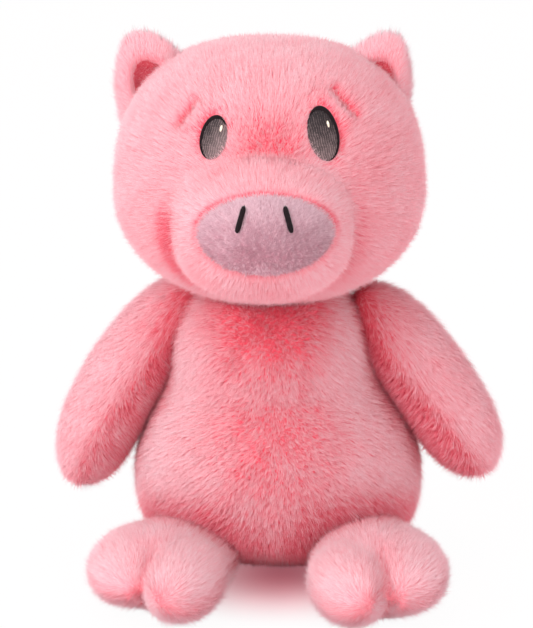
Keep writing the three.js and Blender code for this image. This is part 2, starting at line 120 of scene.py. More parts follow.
CREASE = dict(depth=4.5, width=4.5)  # of the seam between the toes

# Fur
PILE = 4.8  # its full length on the head and body
BACKING = 2.8  # how far the fabric's backing lies inside the outline of the pile
DENSITY = (1.2, 5.7)  # long and short strands on each square millimetre
STRAND = 0.21  # a strand's width at its root
LONG, SHORT = (0.8, 1.45), (0.66, 0.98)  # the strands' lengths, over the pile's
MIDDLE_TONE = 0.62  # between the deep tone at 0 and the pale one at 1
MOST_TRIANGLES = 190000  # in one piece


def unit(v):
    """Each row over its own length."""
    return v / np.maximum(np.linalg.norm(v, axis=-1, keepdims=True), 1e-9)


def signed_power(v, p):
    """The size to a power, with the sign kept."""
    return np.sign(v) * np.abs(v) ** p


def bell(v):
    """1 at 0, and down to a third at 1 and to nothing at 2, on both sides."""
    return np.exp(-(v**2))


def joined(a, b, c):
    """Three arrays, each spread to the shape they share, as one array of threes."""
    return np.stack(np.broadcast_arrays(a, b, c), -1)


def smooth(low, high, v):
    """0 below low, 1 above high, and an S curve between."""
    t = np.clip((v - low) / (high - low), 0, 1)
    return t * t * (3 - 2 * t)


def waves(points, scale, seed, count=9):
    """A soft random field from -1 to 1 or so: the mean of plane waves in random directions."""
    rng = np.random.default_rng(seed)
    ways = unit(rng.normal(size=(count, 3))) * rng.uniform(0.6, 1.5, (count, 1)) * TURN / scale
    starts = rng.uniform(0, TURN, count)
    return np.sin(points @ ways.T + starts).sum(-1) / math.sqrt(count)


def wave_vectors(points, scale, seed):
    """Three such fields, as a vector at each point."""
    return np.stack([waves(points, scale, seed + k) for k in range(3)], -1)


def angles(rows, columns):
    """The polar angle of each row and the angle round of each column, the last as the first."""
    down = np.linspace(0, math.pi, rows)[:, None]
    around = np.linspace(0, TURN, columns + 1)[None, :]
    return down, around


def normals_of(grid):
    """Outward normals of a grid closed round its columns: the cross product of its two slopes."""
    ring = grid[:, :-1]
    across = np.roll(ring, -1, 1) - np.roll(ring, 1, 1)
    along = np.gradient(ring, axis=0)
    n = np.cross(across, along)
    n[0] = n[1].mean(0)
    n[-1] = n[-2].mean(0)
    n = unit(n)
    outward = ring - ring.reshape(-1, 3).mean(0)
    if (n * outward).sum() < 0:
        n = -n
    return np.concatenate([n, n[:, :1]], 1)


def grown(grid, by):
    """The grid moved along its normals."""
    return grid + normals_of(grid) * by


# Forms


def swell(z, form, fullness=2.0):
    """A round profile's half width over its largest, at a height."""
    share = 1 - (np.abs(z - form["height"]) / form["reach"]) ** fullness
    return np.maximum(share, 0) ** (1 / fullness)


def pear(z):
    """The body's half width and half depth at a height: the power mean of belly and chest."""
    low = dict(height=BELLY["height"], reach=BELLY["below"])
    belly = np.where(z < BELLY["height"], swell(z, low, 2.35), swell(z, BELLY))
    chest = swell(z, CHEST)
    width, depth = (
        ((belly * BELLY[way]) ** PEAR_BLEND + (chest * CHEST[way]) ** PEAR_BLEND) ** (1 / PEAR_BLEND)
        for way in ("width", "depth")
    )
    waist = 1 - WAIST["share"] * bell((z - WAIST["height"]) / WAIST["reach"])
    return waist * width, depth


def body_middle(z):
    """How far to the side the body's middle is at a height: it leans towards the head's place."""
    return BODY_SHIFT + LEAN["shift"] * smooth(LEAN["low"], LEAN["high"], z)


def body_grid(rows=110, columns=160):
    """An oval section at each height, with the pear's half width and depth."""
    down, around = angles(rows, columns)
    low = BELLY["height"] - BELLY["below"]
    z = low + (BODY_TOP - low) * (1 + np.cos(down)) / 2
    width, depth = pear(z)
    x = width * np.cos(around) + body_middle(z)
    drawn = smooth(SEAT_TUCK["height"], 0, z)
    y = depth * np.sin(around) * np.where(np.sin(around) < 0, 1 - SEAT_TUCK["share"] * drawn, 1)
    return joined(x, y, z)


def in_body(points, grow=0.0):
    """The oval section's value at each point, under 1 inside."""
    width, depth = pear(points[..., 2])
    across = (points[..., 0] - body_middle(points[..., 2])) / (width + grow + 1e-6)
    value = np.hypot(across, points[..., 1] / (depth + grow + 1e-6))
    outside = (points[..., 2] > BODY_TOP + grow) | (points[..., 2] < -grow)
    return np.where(outside, 9.0, value)


def turned(ways, angle):
    """Directions turned about the vertical."""
    c, s = math.cos(angle), math.sin(angle)
    return joined(c * ways[..., 0] - s * ways[..., 1], s * ways[..., 0] + c * ways[..., 1], ways[..., 2])


def to_head(points):
    """Carries points from the head's own frame to the toy's."""
    return turned(points, HEAD_TURN) + (HEAD_SHIFT, 0, 0)


def from_head(points):
    """Carries points from the toy's frame to the head's own."""
    return turned(points - (HEAD_SHIFT, 0, 0), -HEAD_TURN)


def head_value(points, grow=0.0):
    """The rounded egg's value at each point of the head's own frame, under 1 inside."""
    z = points[..., 2] - HEAD["widest"]
    reach = np.where(z > 0, HEAD["top"] - HEAD["widest"], HEAD["widest"] - HEAD["bottom"]) + grow
    across = np.abs(points[..., 0] / (HEAD["width"] + grow)) ** SOFT_FULLNESS
    across = across + np.abs((points[..., 1] + HEAD["forward"]) / (HEAD["depth"] + grow)) ** SOFT_FULLNESS
    power = np.where(z > 0, HEAD_FULLNESS, CHEEK_FULLNESS)
    return np.abs(z / reach) ** power + across ** (power / SOFT_FULLNESS)


def head_grid(rows=130, columns=180):
    """An egg of squared ovals: both its profile and its sections are fuller than an ellipse."""
    down, around = angles(rows, columns)
    power = np.where(down < math.pi / 2, HEAD_FULLNESS, CHEEK_FULLNESS)
    level = signed_power(np.cos(down), 2 / power)
    share = np.sin(down).clip(0) ** (2 / power)
    x = HEAD["width"] * share * signed_power(np.cos(around), 2 / SOFT_FULLNESS)
    y = HEAD["depth"] * share * signed_power(np.sin(around), 2 / SOFT_FULLNESS) - HEAD["forward"]
    reach = np.where(level > 0, HEAD["top"] - HEAD["widest"], HEAD["widest"] - HEAD["bottom"])
    z = HEAD["widest"] + reach * level
    return joined(x, y, z)


def face_front(x, z, grow=0.0):
    """How far forward the head's skin is at a place on the face, the egg's formula solved for y."""
    level = np.abs(z - HEAD["widest"]) / (
        np.where(z > HEAD["widest"], HEAD["top"] - HEAD["widest"], HEAD["widest"] - HEAD["bottom"]) + grow
    )
    power = np.where(z > HEAD["widest"], HEAD_FULLNESS, CHEEK_FULLNESS)
    share = np.maximum(1 - level**power, 1e-6) ** (1 / power)
    across = np.abs(x) / ((HEAD["width"] + grow) * share)
    root = np.maximum(1 - across**SOFT_FULLNESS, 1e-6) ** (1 / SOFT_FULLNESS)
    return -HEAD["forward"] - (HEAD["depth"] + grow) * share * root


def face_normal(x, z):
    """The outward normal there, from the slopes of that formula."""
    slope_x = (face_front(x + 1, z) - face_front(x - 1, z)) / 2
    slope_z = (face_front(x, z + 1) - face_front(x, z - 1)) / 2
    return unit(joined(slope_x, -np.ones_like(slope_x), slope_z))


def muzzle_value(points, grow=0.0):
    """The muzzle's fuller ellipsoid, under 1 inside."""
    d = np.abs(points - np.array(MUZZLE["centre"])) / (np.array(MUZZLE["size"]) + grow)
    return (d**SOFT_FULLNESS).sum(-1)


def muzzle_grid(rows=90, columns=120):
    """A fuller ellipsoid with its poles at front and back."""
    down, around = angles(rows, columns)
    share = np.sin(down).clip(0) ** (2 / SOFT_FULLNESS)
    centre, size = MUZZLE["centre"], MUZZLE["size"]
    x = centre[0] + size[0] * share * signed_power(np.cos(around), 2 / SOFT_FULLNESS)
    z = centre[2] + size[2] * share * signed_power(np.sin(around), 2 / SOFT_FULLNESS)
    y = centre[1] - size[1] * signed_power(np.cos(down), 2 / SOFT_FULLNESS)
    return joined(x, y, z)


def muzzle_front(x, z, grow=0.0):
    """How far forward the muzzle's skin is, its formula solved for y."""
    centre, size = MUZZLE["centre"], MUZZLE["size"]
    left = 1 - (np.abs(x - centre[0]) / (size[0] + grow)) ** SOFT_FULLNESS
    left = left - (np.abs(z - centre[2]) / (size[2] + grow)) ** SOFT_FULLNESS
    return centre[1] - (size[1] + grow) * np.maximum(left, 0) ** (1 / SOFT_FULLNESS)


def pad_share(points):
    """How far a point is from the snout pad's middle, 1 on its oval rim."""
    return np.hypot((points[..., 0] - PAD["side"]) / PAD["width"], (points[..., 2] - PAD["height"]) / PAD["rise"])


def eye_share(points, side):
    """How far a point is from an eye's middle, 1 on its leaning oval rim."""
    eye = EYE[side]
    a = points[..., 0] - eye["side"]
    b = points[..., 2] - eye["height"]
    c, s = math.cos(EYE_LEAN), side * math.sin(EYE_LEAN)
    return np.hypot((a * c + b * s) / eye["width"], (b * c - a * s) / eye["rise"])


def brow_place(points, side):
    """A point's distance along a brow tuck's line and across it, outwards from the face's middle."""
    brow = BROW[side]
    a = side * points[..., 0] - brow["side"]
    b = points[..., 2] - brow["height"]
    c, s = math.cos(brow["lean"]), math.sin(brow["lean"])
    return a * c - b * s, a * s + b * c


def arm_line(t, side):
    """The arm's middle line, a curve drawn towards its elbow point, and its direction."""
    t = t[..., None]
    root, elbow, tip = ARM_LINE[side]
    at = (1 - t) ** 2 * root + 2 * t * (1 - t) * elbow + t**2 * tip
    way = unit(2 * (1 - t) * (elbow - root) + 2 * t * (tip - elbow))
    flip = np.array([side, 1, 1])
    return at * flip, way * flip


def arm_radius(t, side):
    """Full between two round ends: the end's distance to the fourth power, under a square root."""
    root, paw = ARM_RADIUS[side]
    fullest = root + (paw - root) * t + 2.6 * (1 - (2 * t - 1) ** 2)
    return fullest * np.sqrt(np.maximum(1 - np.abs(2 * t - 1) ** 4, 0))


def arm_grid(side, rows=100, columns=90):
    """A ring square to the middle line at each step, its last and first drawn to a point."""
    down, around = angles(rows, columns)
    t = (1 - np.cos(down)) / 2
    at, way = arm_line(t[:, 0], side)
    out = unit(np.cross(way, np.array([0.0, -1.0, 0.0])))
    fore = np.cross(out, way)
    radius = arm_radius(t, side)[..., None]
    ring = np.cos(around)[..., None] * out[:, None] + np.sin(around)[..., None] * fore[:, None]
    return at[:, None] + radius * ring


def in_arm(points, side, grow=0.0):
    """True within the arm's radius of the nearest of many points on its line."""
    t = np.linspace(0, 1, 25)
    at, _ = arm_line(t, side)
    reach = arm_radius(t, side) + grow
    near = np.zeros(points.shape[:-1], bool)
    for place, radius in zip(at, reach):
        near |= ((points - place) ** 2).sum(-1) < max(radius, 0) ** 2
    return near


def foot_frame(points, side):
    """Points as distances forward of the hip, outwards from the foot's line, and up."""
    x = points[..., 0] - side * HIP[0]
    y = points[..., 1] - HIP[1]
    c, s = math.cos(TOE_OUT), math.sin(TOE_OUT)
    return joined(side * x * s - y * c, side * (x * c + side * y * s), points[..., 2])


def foot_world(local, side):
    """The reverse of foot_frame."""
    c, s = math.cos(TOE_OUT), math.sin(TOE_OUT)
    forward, out, up = local[..., 0], side * local[..., 1], local[..., 2]
    x = side * HIP[0] + side * forward * s + out * c
    y = HIP[1] - forward * c + side * out * s
    return joined(x, y, up)


def in_foot(points, side, grow=0.0):
    """True inside any of the foot's three lobes."""
    local = foot_frame(points, side)
    inside = np.zeros(points.shape[:-1], bool)
    for lobe in LOBES[side]:
        inside |= (((local - lobe[:3]) / (lobe[3:] + grow)) ** 2).sum(-1) < 1
    return inside


def foot_grid(side, rows=110, columns=110):
    """Rays from the foot's heart, each as long as the power mean of its ways out of the lobes."""
    down, around = angles(rows, columns)
    ways = joined(np.cos(down), np.sin(down) * np.cos(around), np.sin(down) * np.sin(around))
    total = 0
    for lobe in LOBES[side]:
        size = lobe[3:]
        start = (FOOT_HEART[side] - lobe[:3]) / size
        step = ways / size
        a = (step**2).sum(-1)
        b = (step * start).sum(-1)
        c = (start**2).sum() - 1
        total = total + ((np.sqrt(b * b - a * c) - b) / a / 50) ** LOBE_BLEND
    reach = 50 * (total / 1.6) ** (1 / LOBE_BLEND)
    local = FOOT_HEART[side] + ways * reach[..., None]
    return foot_world(local - ways * foot_dent(local, side)[..., None], side)


def foot_dent(local, side):
    """How far the seam between the toes draws the skin in: a groove, deeper towards their tips."""
    groove = bell((local[..., 1] - CLEFT[side]) / CREASE["width"])
    return CREASE["depth"] * groove * smooth(44, 74, local[..., 0]) * smooth(3, 11, local[..., 2])


def closeness(gap, reach):
    """1 where pieces touch, fading with the gap between them as a bell."""
    return bell(np.maximum(gap, 0) / reach)


def arm_gap(points, side):
    """About how far points are from an arm: the least distance from its line, less its radius there."""
    t = np.linspace(0.04, 0.96, 24)
    at, _ = arm_line(t, side)
    away = [np.linalg.norm(points - place, axis=-1) - radius for place, radius in zip(at, arm_radius(t, side))]
    return np.min(away, axis=0)


def body_gap(points):
    """About how far points are from the body's skin, along the level."""
    return (in_body(points) - 1) * 55


def foot_gap(points, side):
    """About how far points are from the nearest lobe of a foot."""
    local = foot_frame(points, side)
    away = [(np.linalg.norm((local - lobe[:3]) / lobe[3:], axis=-1) - 1) * 24 for lobe in LOBES[side]]
    return np.min(away, axis=0)


def cup_depth(across, up):
    """How deep in the ear's cup a place is, from 0 at its rim to 1 in its middle."""
    return 1 - smooth(0.45, 1.15, np.hypot(across / CUP["width"], (up + CUP["drop"]) / CUP["rise"]))


def ear_grid(side, rows=70, columns=90):
    """A leaf, narrower towards its tip, whose front is pressed in to a cup."""
    down, around = angles(rows, columns)
    z = np.cos(down)
    x = np.sin(down) * np.cos(around)
    y = np.sin(down) * np.sin(around)
    taper = 1.2 - 0.7 * smooth(-1, 1.2, z)
    px = EAR["width"] * taper * signed_power(x, 2 / EAR_FULLNESS)
    px = px * (1 + EAR_BULGE[side] * smooth(0, 0.6, -side * x) * smooth(-0.4, 0.7, z))
    pz = EAR["rise"] * signed_power(z, 2 / EAR_FULLNESS)
    py = EAR["depth"] * y * taper + (y < 0) * (CUP["depth"] * cup_depth(px, pz))
    c, s = math.cos(EAR_LEAN), side * math.sin(EAR_LEAN)
    wx = EAR["side"][side] + c * px + s * pz
    wz = EAR["height"] + c * pz - s * px
    return joined(wx, py + EAR["back"], wz)


def tail_grid(rows=60, columns=24):
    """A ring carried along a line that runs out from the seat's back and curls once round."""
    t = np.linspace(0, 1, rows)
    turn = TURN * 1.15 * t
    curl = 8 * smooth(0, 0.35, t)
    start = BELLY["depth"] * swell(np.array(46.0), BELLY) - 3
    line = joined(curl * np.sin(turn), start + 22 * t, 46 + curl * (1 - np.cos(turn)))
    way = unit(np.gradient(line, axis=0))
    side = unit(np.cross(way, np.array([0.3, 0.2, 1.0])))
    other = np.cross(way, side)
    around = np.linspace(0, TURN, columns + 1)
    radius = 5 * (1 - np.clip((t - 0.8) / 0.22, 0, 1) ** 2.5) ** 0.5
    radius[0] = 0
    ring = np.cos(around)[None, :, None] * side[:, None] + np.sin(around)[None, :, None] * other[:, None]
    return line[:, None] + radius[:, None, None] * ring


# Meshes


def finish_mesh(obj, body, material, slot, blend=None):
    """Gives a piece its finish, and the body that it moves with; a piece given a blend has its place baked into
    its mesh instead, and is given no body.
    """
    obj.data.materials.append(material)
    if blend:
        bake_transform(obj)
    else:
        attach(obj, body)
    return obj


def mesh_object(name, vertices, faces, smooth_faces=True):
    """A mesh object of vertices in millimetres and a whole array of faces, all of one size."""
    mesh = bpy.data.meshes.new(name)
    count, size = faces.shape
    mesh.vertices.add(len(vertices))
    mesh.vertices.foreach_set("co", (vertices * MM).astype(np.float32).ravel())
    mesh.loops.add(count * size)
    mesh.loops.foreach_set("vertex_index", faces.astype(np.int32).ravel())
    mesh.polygons.add(count)
    mesh.polygons.foreach_set("loop_start", np.arange(0, count * size, size, dtype=np.int32))
    mesh.polygons.foreach_set("use_smooth", np.full(count, smooth_faces))
    mesh.update(calc_edges=True)
    obj = bpy.data.objects.new(name, mesh)
    bpy.context.scene.collection.objects.link(obj)
    return obj


def halved(quads):
    """Two triangles for each quad."""
    return np.vstack([quads[:, [0, 1, 2]], quads[:, [0, 2, 3]]])


def facing_out(vertices, triangles):
    """The triangles, all turned over if the volume in them comes out below nothing."""
    p = vertices[triangles]
    volume = np.einsum("ij,ij->", p[:, 0], np.cross(p[:, 1], p[:, 2]))
    return triangles[:, ::-1] if volume < 0 else triangles


def skin_object(name, grid):
    """A closed skin: rings of a grid, with one vertex at each of its two poles."""
    ring = grid[1:-1, :-1]
    rows, columns = ring.shape[:2]
    vertices = np.vstack([grid[0, :1], ring.reshape(-1, 3), grid[-1, :1]])
    a = np.arange((rows - 1) * columns).reshape(-1, columns) + 1
    b = np.roll(a, -1, 1)
    first = np.arange(columns) + 1
    last = first + (rows - 1) * columns
    quads = np.stack([a, b, b + columns, a + columns], -1).reshape(-1, 4)
    tops = joined(np.roll(first, -1), first, 0)
    ends = joined(last, np.roll(last, -1), len(vertices) - 1)
    return mesh_object(name, vertices, facing_out(vertices, np.vstack([halved(quads), tops, ends])))


def quad_areas(grid):
    """The area of each of a grid's quads, by the cross product of its diagonals."""
    a, b, c, d = grid[:-1, :-1], grid[:-1, 1:], grid[1:, 1:], grid[1:, :-1]
    return np.linalg.norm(np.cross(c - a, d - b), axis=-1) / 2


def scatter(grid, count, rng):
    """Random places spread evenly by area over a grid, with the grid's normals there."""
    area = quad_areas(grid)
    pick = rng.choice(area.size, count, p=area.ravel() / area.sum())
    i, j = np.unravel_index(pick, area.shape)
    s, t = rng.random((2, count, 1))

    def between(v):
        """The mean of a quad's corners, by how near each is."""
        near, far = v[i, j] * (1 - s) + v[i, j + 1] * s, v[i + 1, j] * (1 - s) + v[i + 1, j + 1] * s
        return near * (1 - t) + far * t

    return between(grid), unit(between(normals_of(grid)))


def strand_object(name, root, way, length, width, bend, tone, normal, rng, jointed):
    """Tapered strands: each a root edge, a narrower edge half way where jointed, and a tip.
    A strand's map coordinates are its tone, and its distance from the root."""
    count = len(root)
    side = np.cross(way, normal)
    roll = rng.normal(0, 0.25, (count, 1))
    side = unit(unit(side) * np.cos(roll) + np.cross(way, unit(side)) * np.sin(roll))
    half = side * width[:, None] / 2
    tip = root + (way + bend * 0.35) * length[:, None]
    levels = [root - half, root + half]
    if jointed:
        middle = root + way * length[:, None] * 0.55
        levels += [middle - half * 0.8, middle + half * 0.8]
    levels.append(tip)
    vertices = np.stack(levels, 1)
    vertices[..., 2] = np.maximum(vertices[..., 2], 0.15)
    each = vertices.shape[1]
    pattern = np.array([(0, 1, 3), (0, 3, 2), (2, 3, 4)] if jointed else [(0, 1, 2)])
    faces = (np.arange(count)[:, None, None] * each + pattern).reshape(-1, 3)
    obj = mesh_object(name, vertices.reshape(-1, 3), faces)
    along = np.array([0, 0, 0.55, 0.55, 1] if jointed else [0, 0, 1.0])
    across = np.array([-1, 1, -1, 1, 0] if jointed else [-1, 1, 0]) * 0.012
    u = np.clip(tone, 0.02, 0.98)[:, None] + across
    uv = np.stack([u, np.broadcast_to(along, u.shape)], -1)
    corners = uv[:, pattern].reshape(-1, 2)
    layer = obj.data.uv_layers.new(name="OFBake")
    layer.uv.foreach_set("vector", corners.astype(np.float32).ravel())
    soft = unit(normal + 0.2 * way)
    shade = np.repeat(soft, each, 0)
    free = obj.data.attributes.new("custom_normal", "FLOAT_VECTOR", "POINT")
    free.data.foreach_set("vector", shade.astype(np.float32).ravel())
    return obj


def lie(normal, way, amount):
    """A step along the skin: the way less its part along the normal, over its length, times amount."""
    flat = way - (way * normal).sum(-1, keepdims=True) * normal
    flat = flat / np.maximum(np.linalg.norm(flat, axis=-1, keepdims=True), 0.2)
    return flat * np.reshape(amount, (-1, 1))


def fur(
    name, grid, comb, body, material, slot="fur", pile=PILE, keep=None, tone=None,
    shorten=None, dense=DENSITY, width=STRAND, blend=None, seed=1, on_head=False,
):
    """Covers a skin with fur. Each strand runs along the skin's normal plus what comb gives, and wanders
    in soft patches, more where it stands upright. keep drops some, and shorten and tone vary them, the
    tone more unevenly where it is deep."""
    rng = np.random.default_rng(seed)
    area = quad_areas(grid).sum()
    for kind, share, lengths in (("long", dense[0], LONG), ("short", dense[1], SHORT)):
        jointed = kind == "long"
        root, normal = scatter(grid, int(area * share), rng)
        if keep is not None:
            kept = keep(root, normal)
            root, normal = root[kept], normal[kept]
        count = len(root)
        flow = comb(root, normal)
        loose = 0.32 - 0.2 * np.linalg.norm(flow, axis=-1, keepdims=True).clip(0, 1)
        patch = (wave_vectors(root, 13, seed + 10) * 0.4 + wave_vectors(root, 2.6, seed + 20) * 0.7) * loose
        way = unit(normal + flow + patch + rng.normal(0, 0.12, (count, 3)))
        away = (way * normal).sum(-1, keepdims=True)
        way = unit(way + normal * np.maximum(0.25 - away, 0))
        length = pile * rng.uniform(*lengths, count)
        if shorten is not None:
            length = length * shorten(root, normal)
        thick = width * rng.uniform(0.75, 1.25, count) * (0.8 if jointed else 1)
        # the tone functions below hold painted shade and painted highlight as well as the fur's own uneven tone
        shift = tone(root, normal) if tone is not None else np.zeros(count)
        uneven = 0.07 + 0.4 * np.clip(0.1 - shift, 0, 0.5)
        shade = MIDDLE_TONE + shift + 0.05 * waves(root, 22, seed + 30) + uneven * waves(root, 2.2, seed + 31)
        shade = shade + uneven * rng.normal(0, 1, count)
        bend = flow * 0.4 + np.array([0, 0, -0.2])
        if on_head:
            root, way, bend, normal = to_head(root), *(turned(v, HEAD_TURN) for v in (way, bend, normal))
        pieces = max(1, math.ceil(count * (3 if jointed else 1) / MOST_TRIANGLES))
        order = np.argsort(np.arctan2(root[:, 1] - root[:, 1].mean(), root[:, 0] - root[:, 0].mean()))
        for part, chosen in enumerate(np.array_split(order, pieces)):
            label = f"{name}_{kind}" + (f"_{part + 1}" if pieces > 1 else "")
            each = (v[chosen] for v in (root, way, length, thick, bend, shade, normal))
            finish_mesh(strand_object(label, *each, rng, jointed), body, material, slot, blend)


# Finishes


def rgb(r, g, b):
    """A colour from its 0 to 255 screen values, as linear light."""
    c = np.array([r, g, b]) / 255
    linear = np.where(c <= 0.04045, c / 12.92, ((c + 0.055) / 1.055) ** 2.4)
    return (*linear.tolist(), 1.0)


def node(tree, kind, inputs, **settings):
    """A shader node with its settings, each input set to a value or joined to another node's output."""
    made = tree.nodes.new("ShaderNode" + kind)
    for setting, value in settings.items():
        setattr(made, setting, value)
    for socket, given in inputs.items():
        if isinstance(given, bpy.types.NodeSocket):
            tree.links.new(given, made.inputs[socket])
        else:
            made.inputs[socket].default_value = given
    return made


def new_material(name, roughness, sheen=0.0, specular=0.3):
    """A material and its node tree, with the shader's even values set on its own sockets."""
    material = bpy.data.materials.new(name)
    material.use_nodes = True
    tree = material.node_tree
    shader = tree.nodes["Principled BSDF"]
    shader.inputs["Roughness"].default_value = roughness
    shader.inputs["Sheen Weight"].default_value = sheen
    shader.inputs["Sheen Roughness"].default_value = 0.4
    shader.inputs["Specular IOR Level"].default_value = specular
    return material, tree, shader


def ramp(tree, factor, stops):
    """A colour ramp of (position, colour) stops on a factor."""
    made = node(tree, "ValToRGB", {"Fac": factor})
    made.color_ramp.interpolation = "EASE"
    first, last = made.color_ramp.elements
    first.position, first.color = stops[0]
    last.position, last.color = stops[-1]
    for position, colour in stops[1:-1]:
        made.color_ramp.elements.new(position).color = colour
    return made.outputs["Color"]


def fur_material(name, deep, pale):
    """Fur: along each strand from root to tip by one ramp for deep tones and one for pale ones. Both
    sides of a strand take the light that falls on the pile, so its normal isn't turned on its back."""
    material, tree, shader = new_material(name, 0.8, 0.25, 0.25)
    place = node(tree, "UVMap", {}, uv_map="OFBake").outputs["UV"]
    split = node(tree, "SeparateXYZ", {"Vector": place}).outputs
    tints = {"Factor": split["X"], "A": ramp(tree, split["Y"], deep), "B": ramp(tree, split["Y"], pale)}
    colour = node(tree, "Mix", tints, data_type="RGBA").outputs["Result"]
    surface = node(tree, "NewGeometry", {}).outputs
    side = node(tree, "Math", {0: surface["Backfacing"], 1: -2, 2: 1}, operation="MULTIPLY_ADD").outputs[0]
    kept = node(tree, "VectorMath", {0: surface["Normal"], "Scale": side}, operation="SCALE").outputs[0]
    own = node(tree, "VectorMath", {0: surface["True Normal"], "Scale": OWN_SIDE}, operation="SCALE").outputs[0]
    total = node(tree, "VectorMath", {0: kept, 1: own}, operation="ADD").outputs[0]
    even = node(tree, "VectorMath", {0: total}, operation="NORMALIZE").outputs[0]
    tree.links.new(colour, shader.inputs["Base Color"])
    tree.links.new(even, shader.inputs["Normal"])
    through = node(tree, "BsdfTranslucent", {"Color": colour}).outputs[0]
    both = node(tree, "MixShader", {"Fac": LIGHT_THROUGH, 1: shader.outputs[0], 2: through}).outputs[0]
    tree.links.new(both, tree.nodes["Material Output"].inputs["Surface"])
    return material


def stitch_material(name, dark, light):
    """Satin stitch: one thread's colour into another's by the shade that each stitch holds."""
    material, tree, shader = new_material(name, 0.6, 0.1, 0.25)
    held = node(tree, "Attribute", {}, attribute_name="stitch_shade").outputs["Fac"]
    tree.links.new(ramp(tree, held, [(0.0, dark), (1.0, light)]), shader.inputs["Base Color"])
    return material


def cloth_material(name, colours, scale, roughness=0.9, bump=0.25):
    """Cloth: a fine noise moves the colour and raises the surface."""
    material, tree, shader = new_material(name, roughness, 0.15, 0.2)
    place = node(tree, "TexCoord", {}).outputs["Object"]
    noise = node(tree, "TexNoise", {"Vector": place, "Scale": scale, "Detail": 3}).outputs["Fac"]
    colour = ramp(tree, noise, [(0.3, colours[0]), (0.7, colours[1])])
    raised = node(tree, "Bump", {"Height": noise, "Strength": bump, "Distance": 0.0006}).outputs["Normal"]
    tree.links.new(colour, shader.inputs["Base Color"])
    tree.links.new(raised, shader.inputs["Normal"])
    return material


OWN_SIDE = 0.45  # how much a strand's own side turns the pile's normal
LIGHT_THROUGH = 0.38  # the share of light that a strand lets through

PINK_FUR = fur_material(
    "pink_fur",
    deep=[(0.0, rgb(216, 34, 62)), (0.45, rgb(244, 100, 120)), (1.0, rgb(250, 162, 176))],
    pale=[(0.0, rgb(251, 176, 187)), (0.45, rgb(252, 205, 213)), (1.0, rgb(253, 232, 236))],
)
LINING_FUR = fur_material(
    "ear_lining_fur",
    deep=[(0.0, rgb(244, 52, 76)), (1.0, rgb(252, 104, 124))],
    pale=[(0.0, rgb(246, 84, 106)), (1.0, rgb(250, 156, 170))],
)
SNOUT_FUR = fur_material(
    "snout_plush",
    deep=[(0.0, rgb(196, 150, 164)), (1.0, rgb(216, 178, 190))],
    pale=[(0.0, rgb(230, 186, 198)), (1.0, rgb(253, 230, 236))],
)
BACKING_CLOTH = cloth_material("fur_backing", (rgb(240, 84, 106), rgb(248, 110, 128)), 900)
PALE_BACKING = cloth_material("pale_fur_backing", (rgb(250, 150, 162), rgb(254, 170, 180)), 900)
SNOUT_CLOTH = cloth_material("snout_backing", (rgb(204, 152, 166), rgb(216, 168, 180)), 900)
EYE_THREAD = stitch_material("eye_thread", rgb(22, 12, 16), rgb(158, 136, 136))
DARK_THREAD = cloth_material("dark_thread", (rgb(8, 1, 4), rgb(22, 7, 12)), 1400, 0.85, 0.2)
PALE_THREAD = cloth_material("pale_thread", (rgb(214, 198, 176), rgb(246, 236, 218)), 1400, 0.4, 0.2)
FIBRE = cloth_material("fibre_fill", (rgb(236, 236, 232), rgb(250, 250, 248)), 400, 0.95, 0.4)
POUCH = cloth_material("pouch_cloth", (rgb(226, 222, 212), rgb(240, 238, 230)), 1200, 0.9, 0.3)

# Clearances


def clear_of_head(points, gap):
    """Lowers what would be in the head to just under it, the head's formula solved for its underside."""
    local = from_head(points)
    across = np.abs(local[..., 0] / HEAD["width"]) ** SOFT_FULLNESS
    across = across + np.abs((local[..., 1] + HEAD["forward"]) / HEAD["depth"]) ** SOFT_FULLNESS
    level = np.maximum(1 - across ** (CHEEK_FULLNESS / SOFT_FULLNESS), 0) ** (1 / CHEEK_FULLNESS)
    under = HEAD["widest"] - (HEAD["widest"] - HEAD["bottom"]) * level - gap
    low = np.where(across < 1, np.minimum(points[..., 2], under), points[..., 2])
    return joined(points[..., 0], points[..., 1], low)


def clear_of_body(points, gap):
    """Moves what would be in the body straight out from its middle line to just over its skin."""
    value = in_body(points, gap)
    out = np.where(value < 1, 1 / np.maximum(value, 0.05), 1.0)
    middle = body_middle(points[..., 2])
    x = (points[..., 0] - middle) * out + middle
    return joined(x, points[..., 1] * out, points[..., 2])


def above_floor(points, gap=0.3):
    """Presses flat what would be below the surface."""
    return joined(points[..., 0], points[..., 1], np.maximum(points[..., 2], gap))


# The body

DOWN = np.array([0.0, 0.0, -1.0])


def body_keep(root, normal):
    """Not in the head, an arm or a leg."""
    kept = head_value(from_head(root), -2.4) > 1
    for _, side in SIDES:
        kept &= ~in_arm(root, side, -6) & ~in_foot(root, side, -6)
    return kept & (root[:, 2] > 0.8)


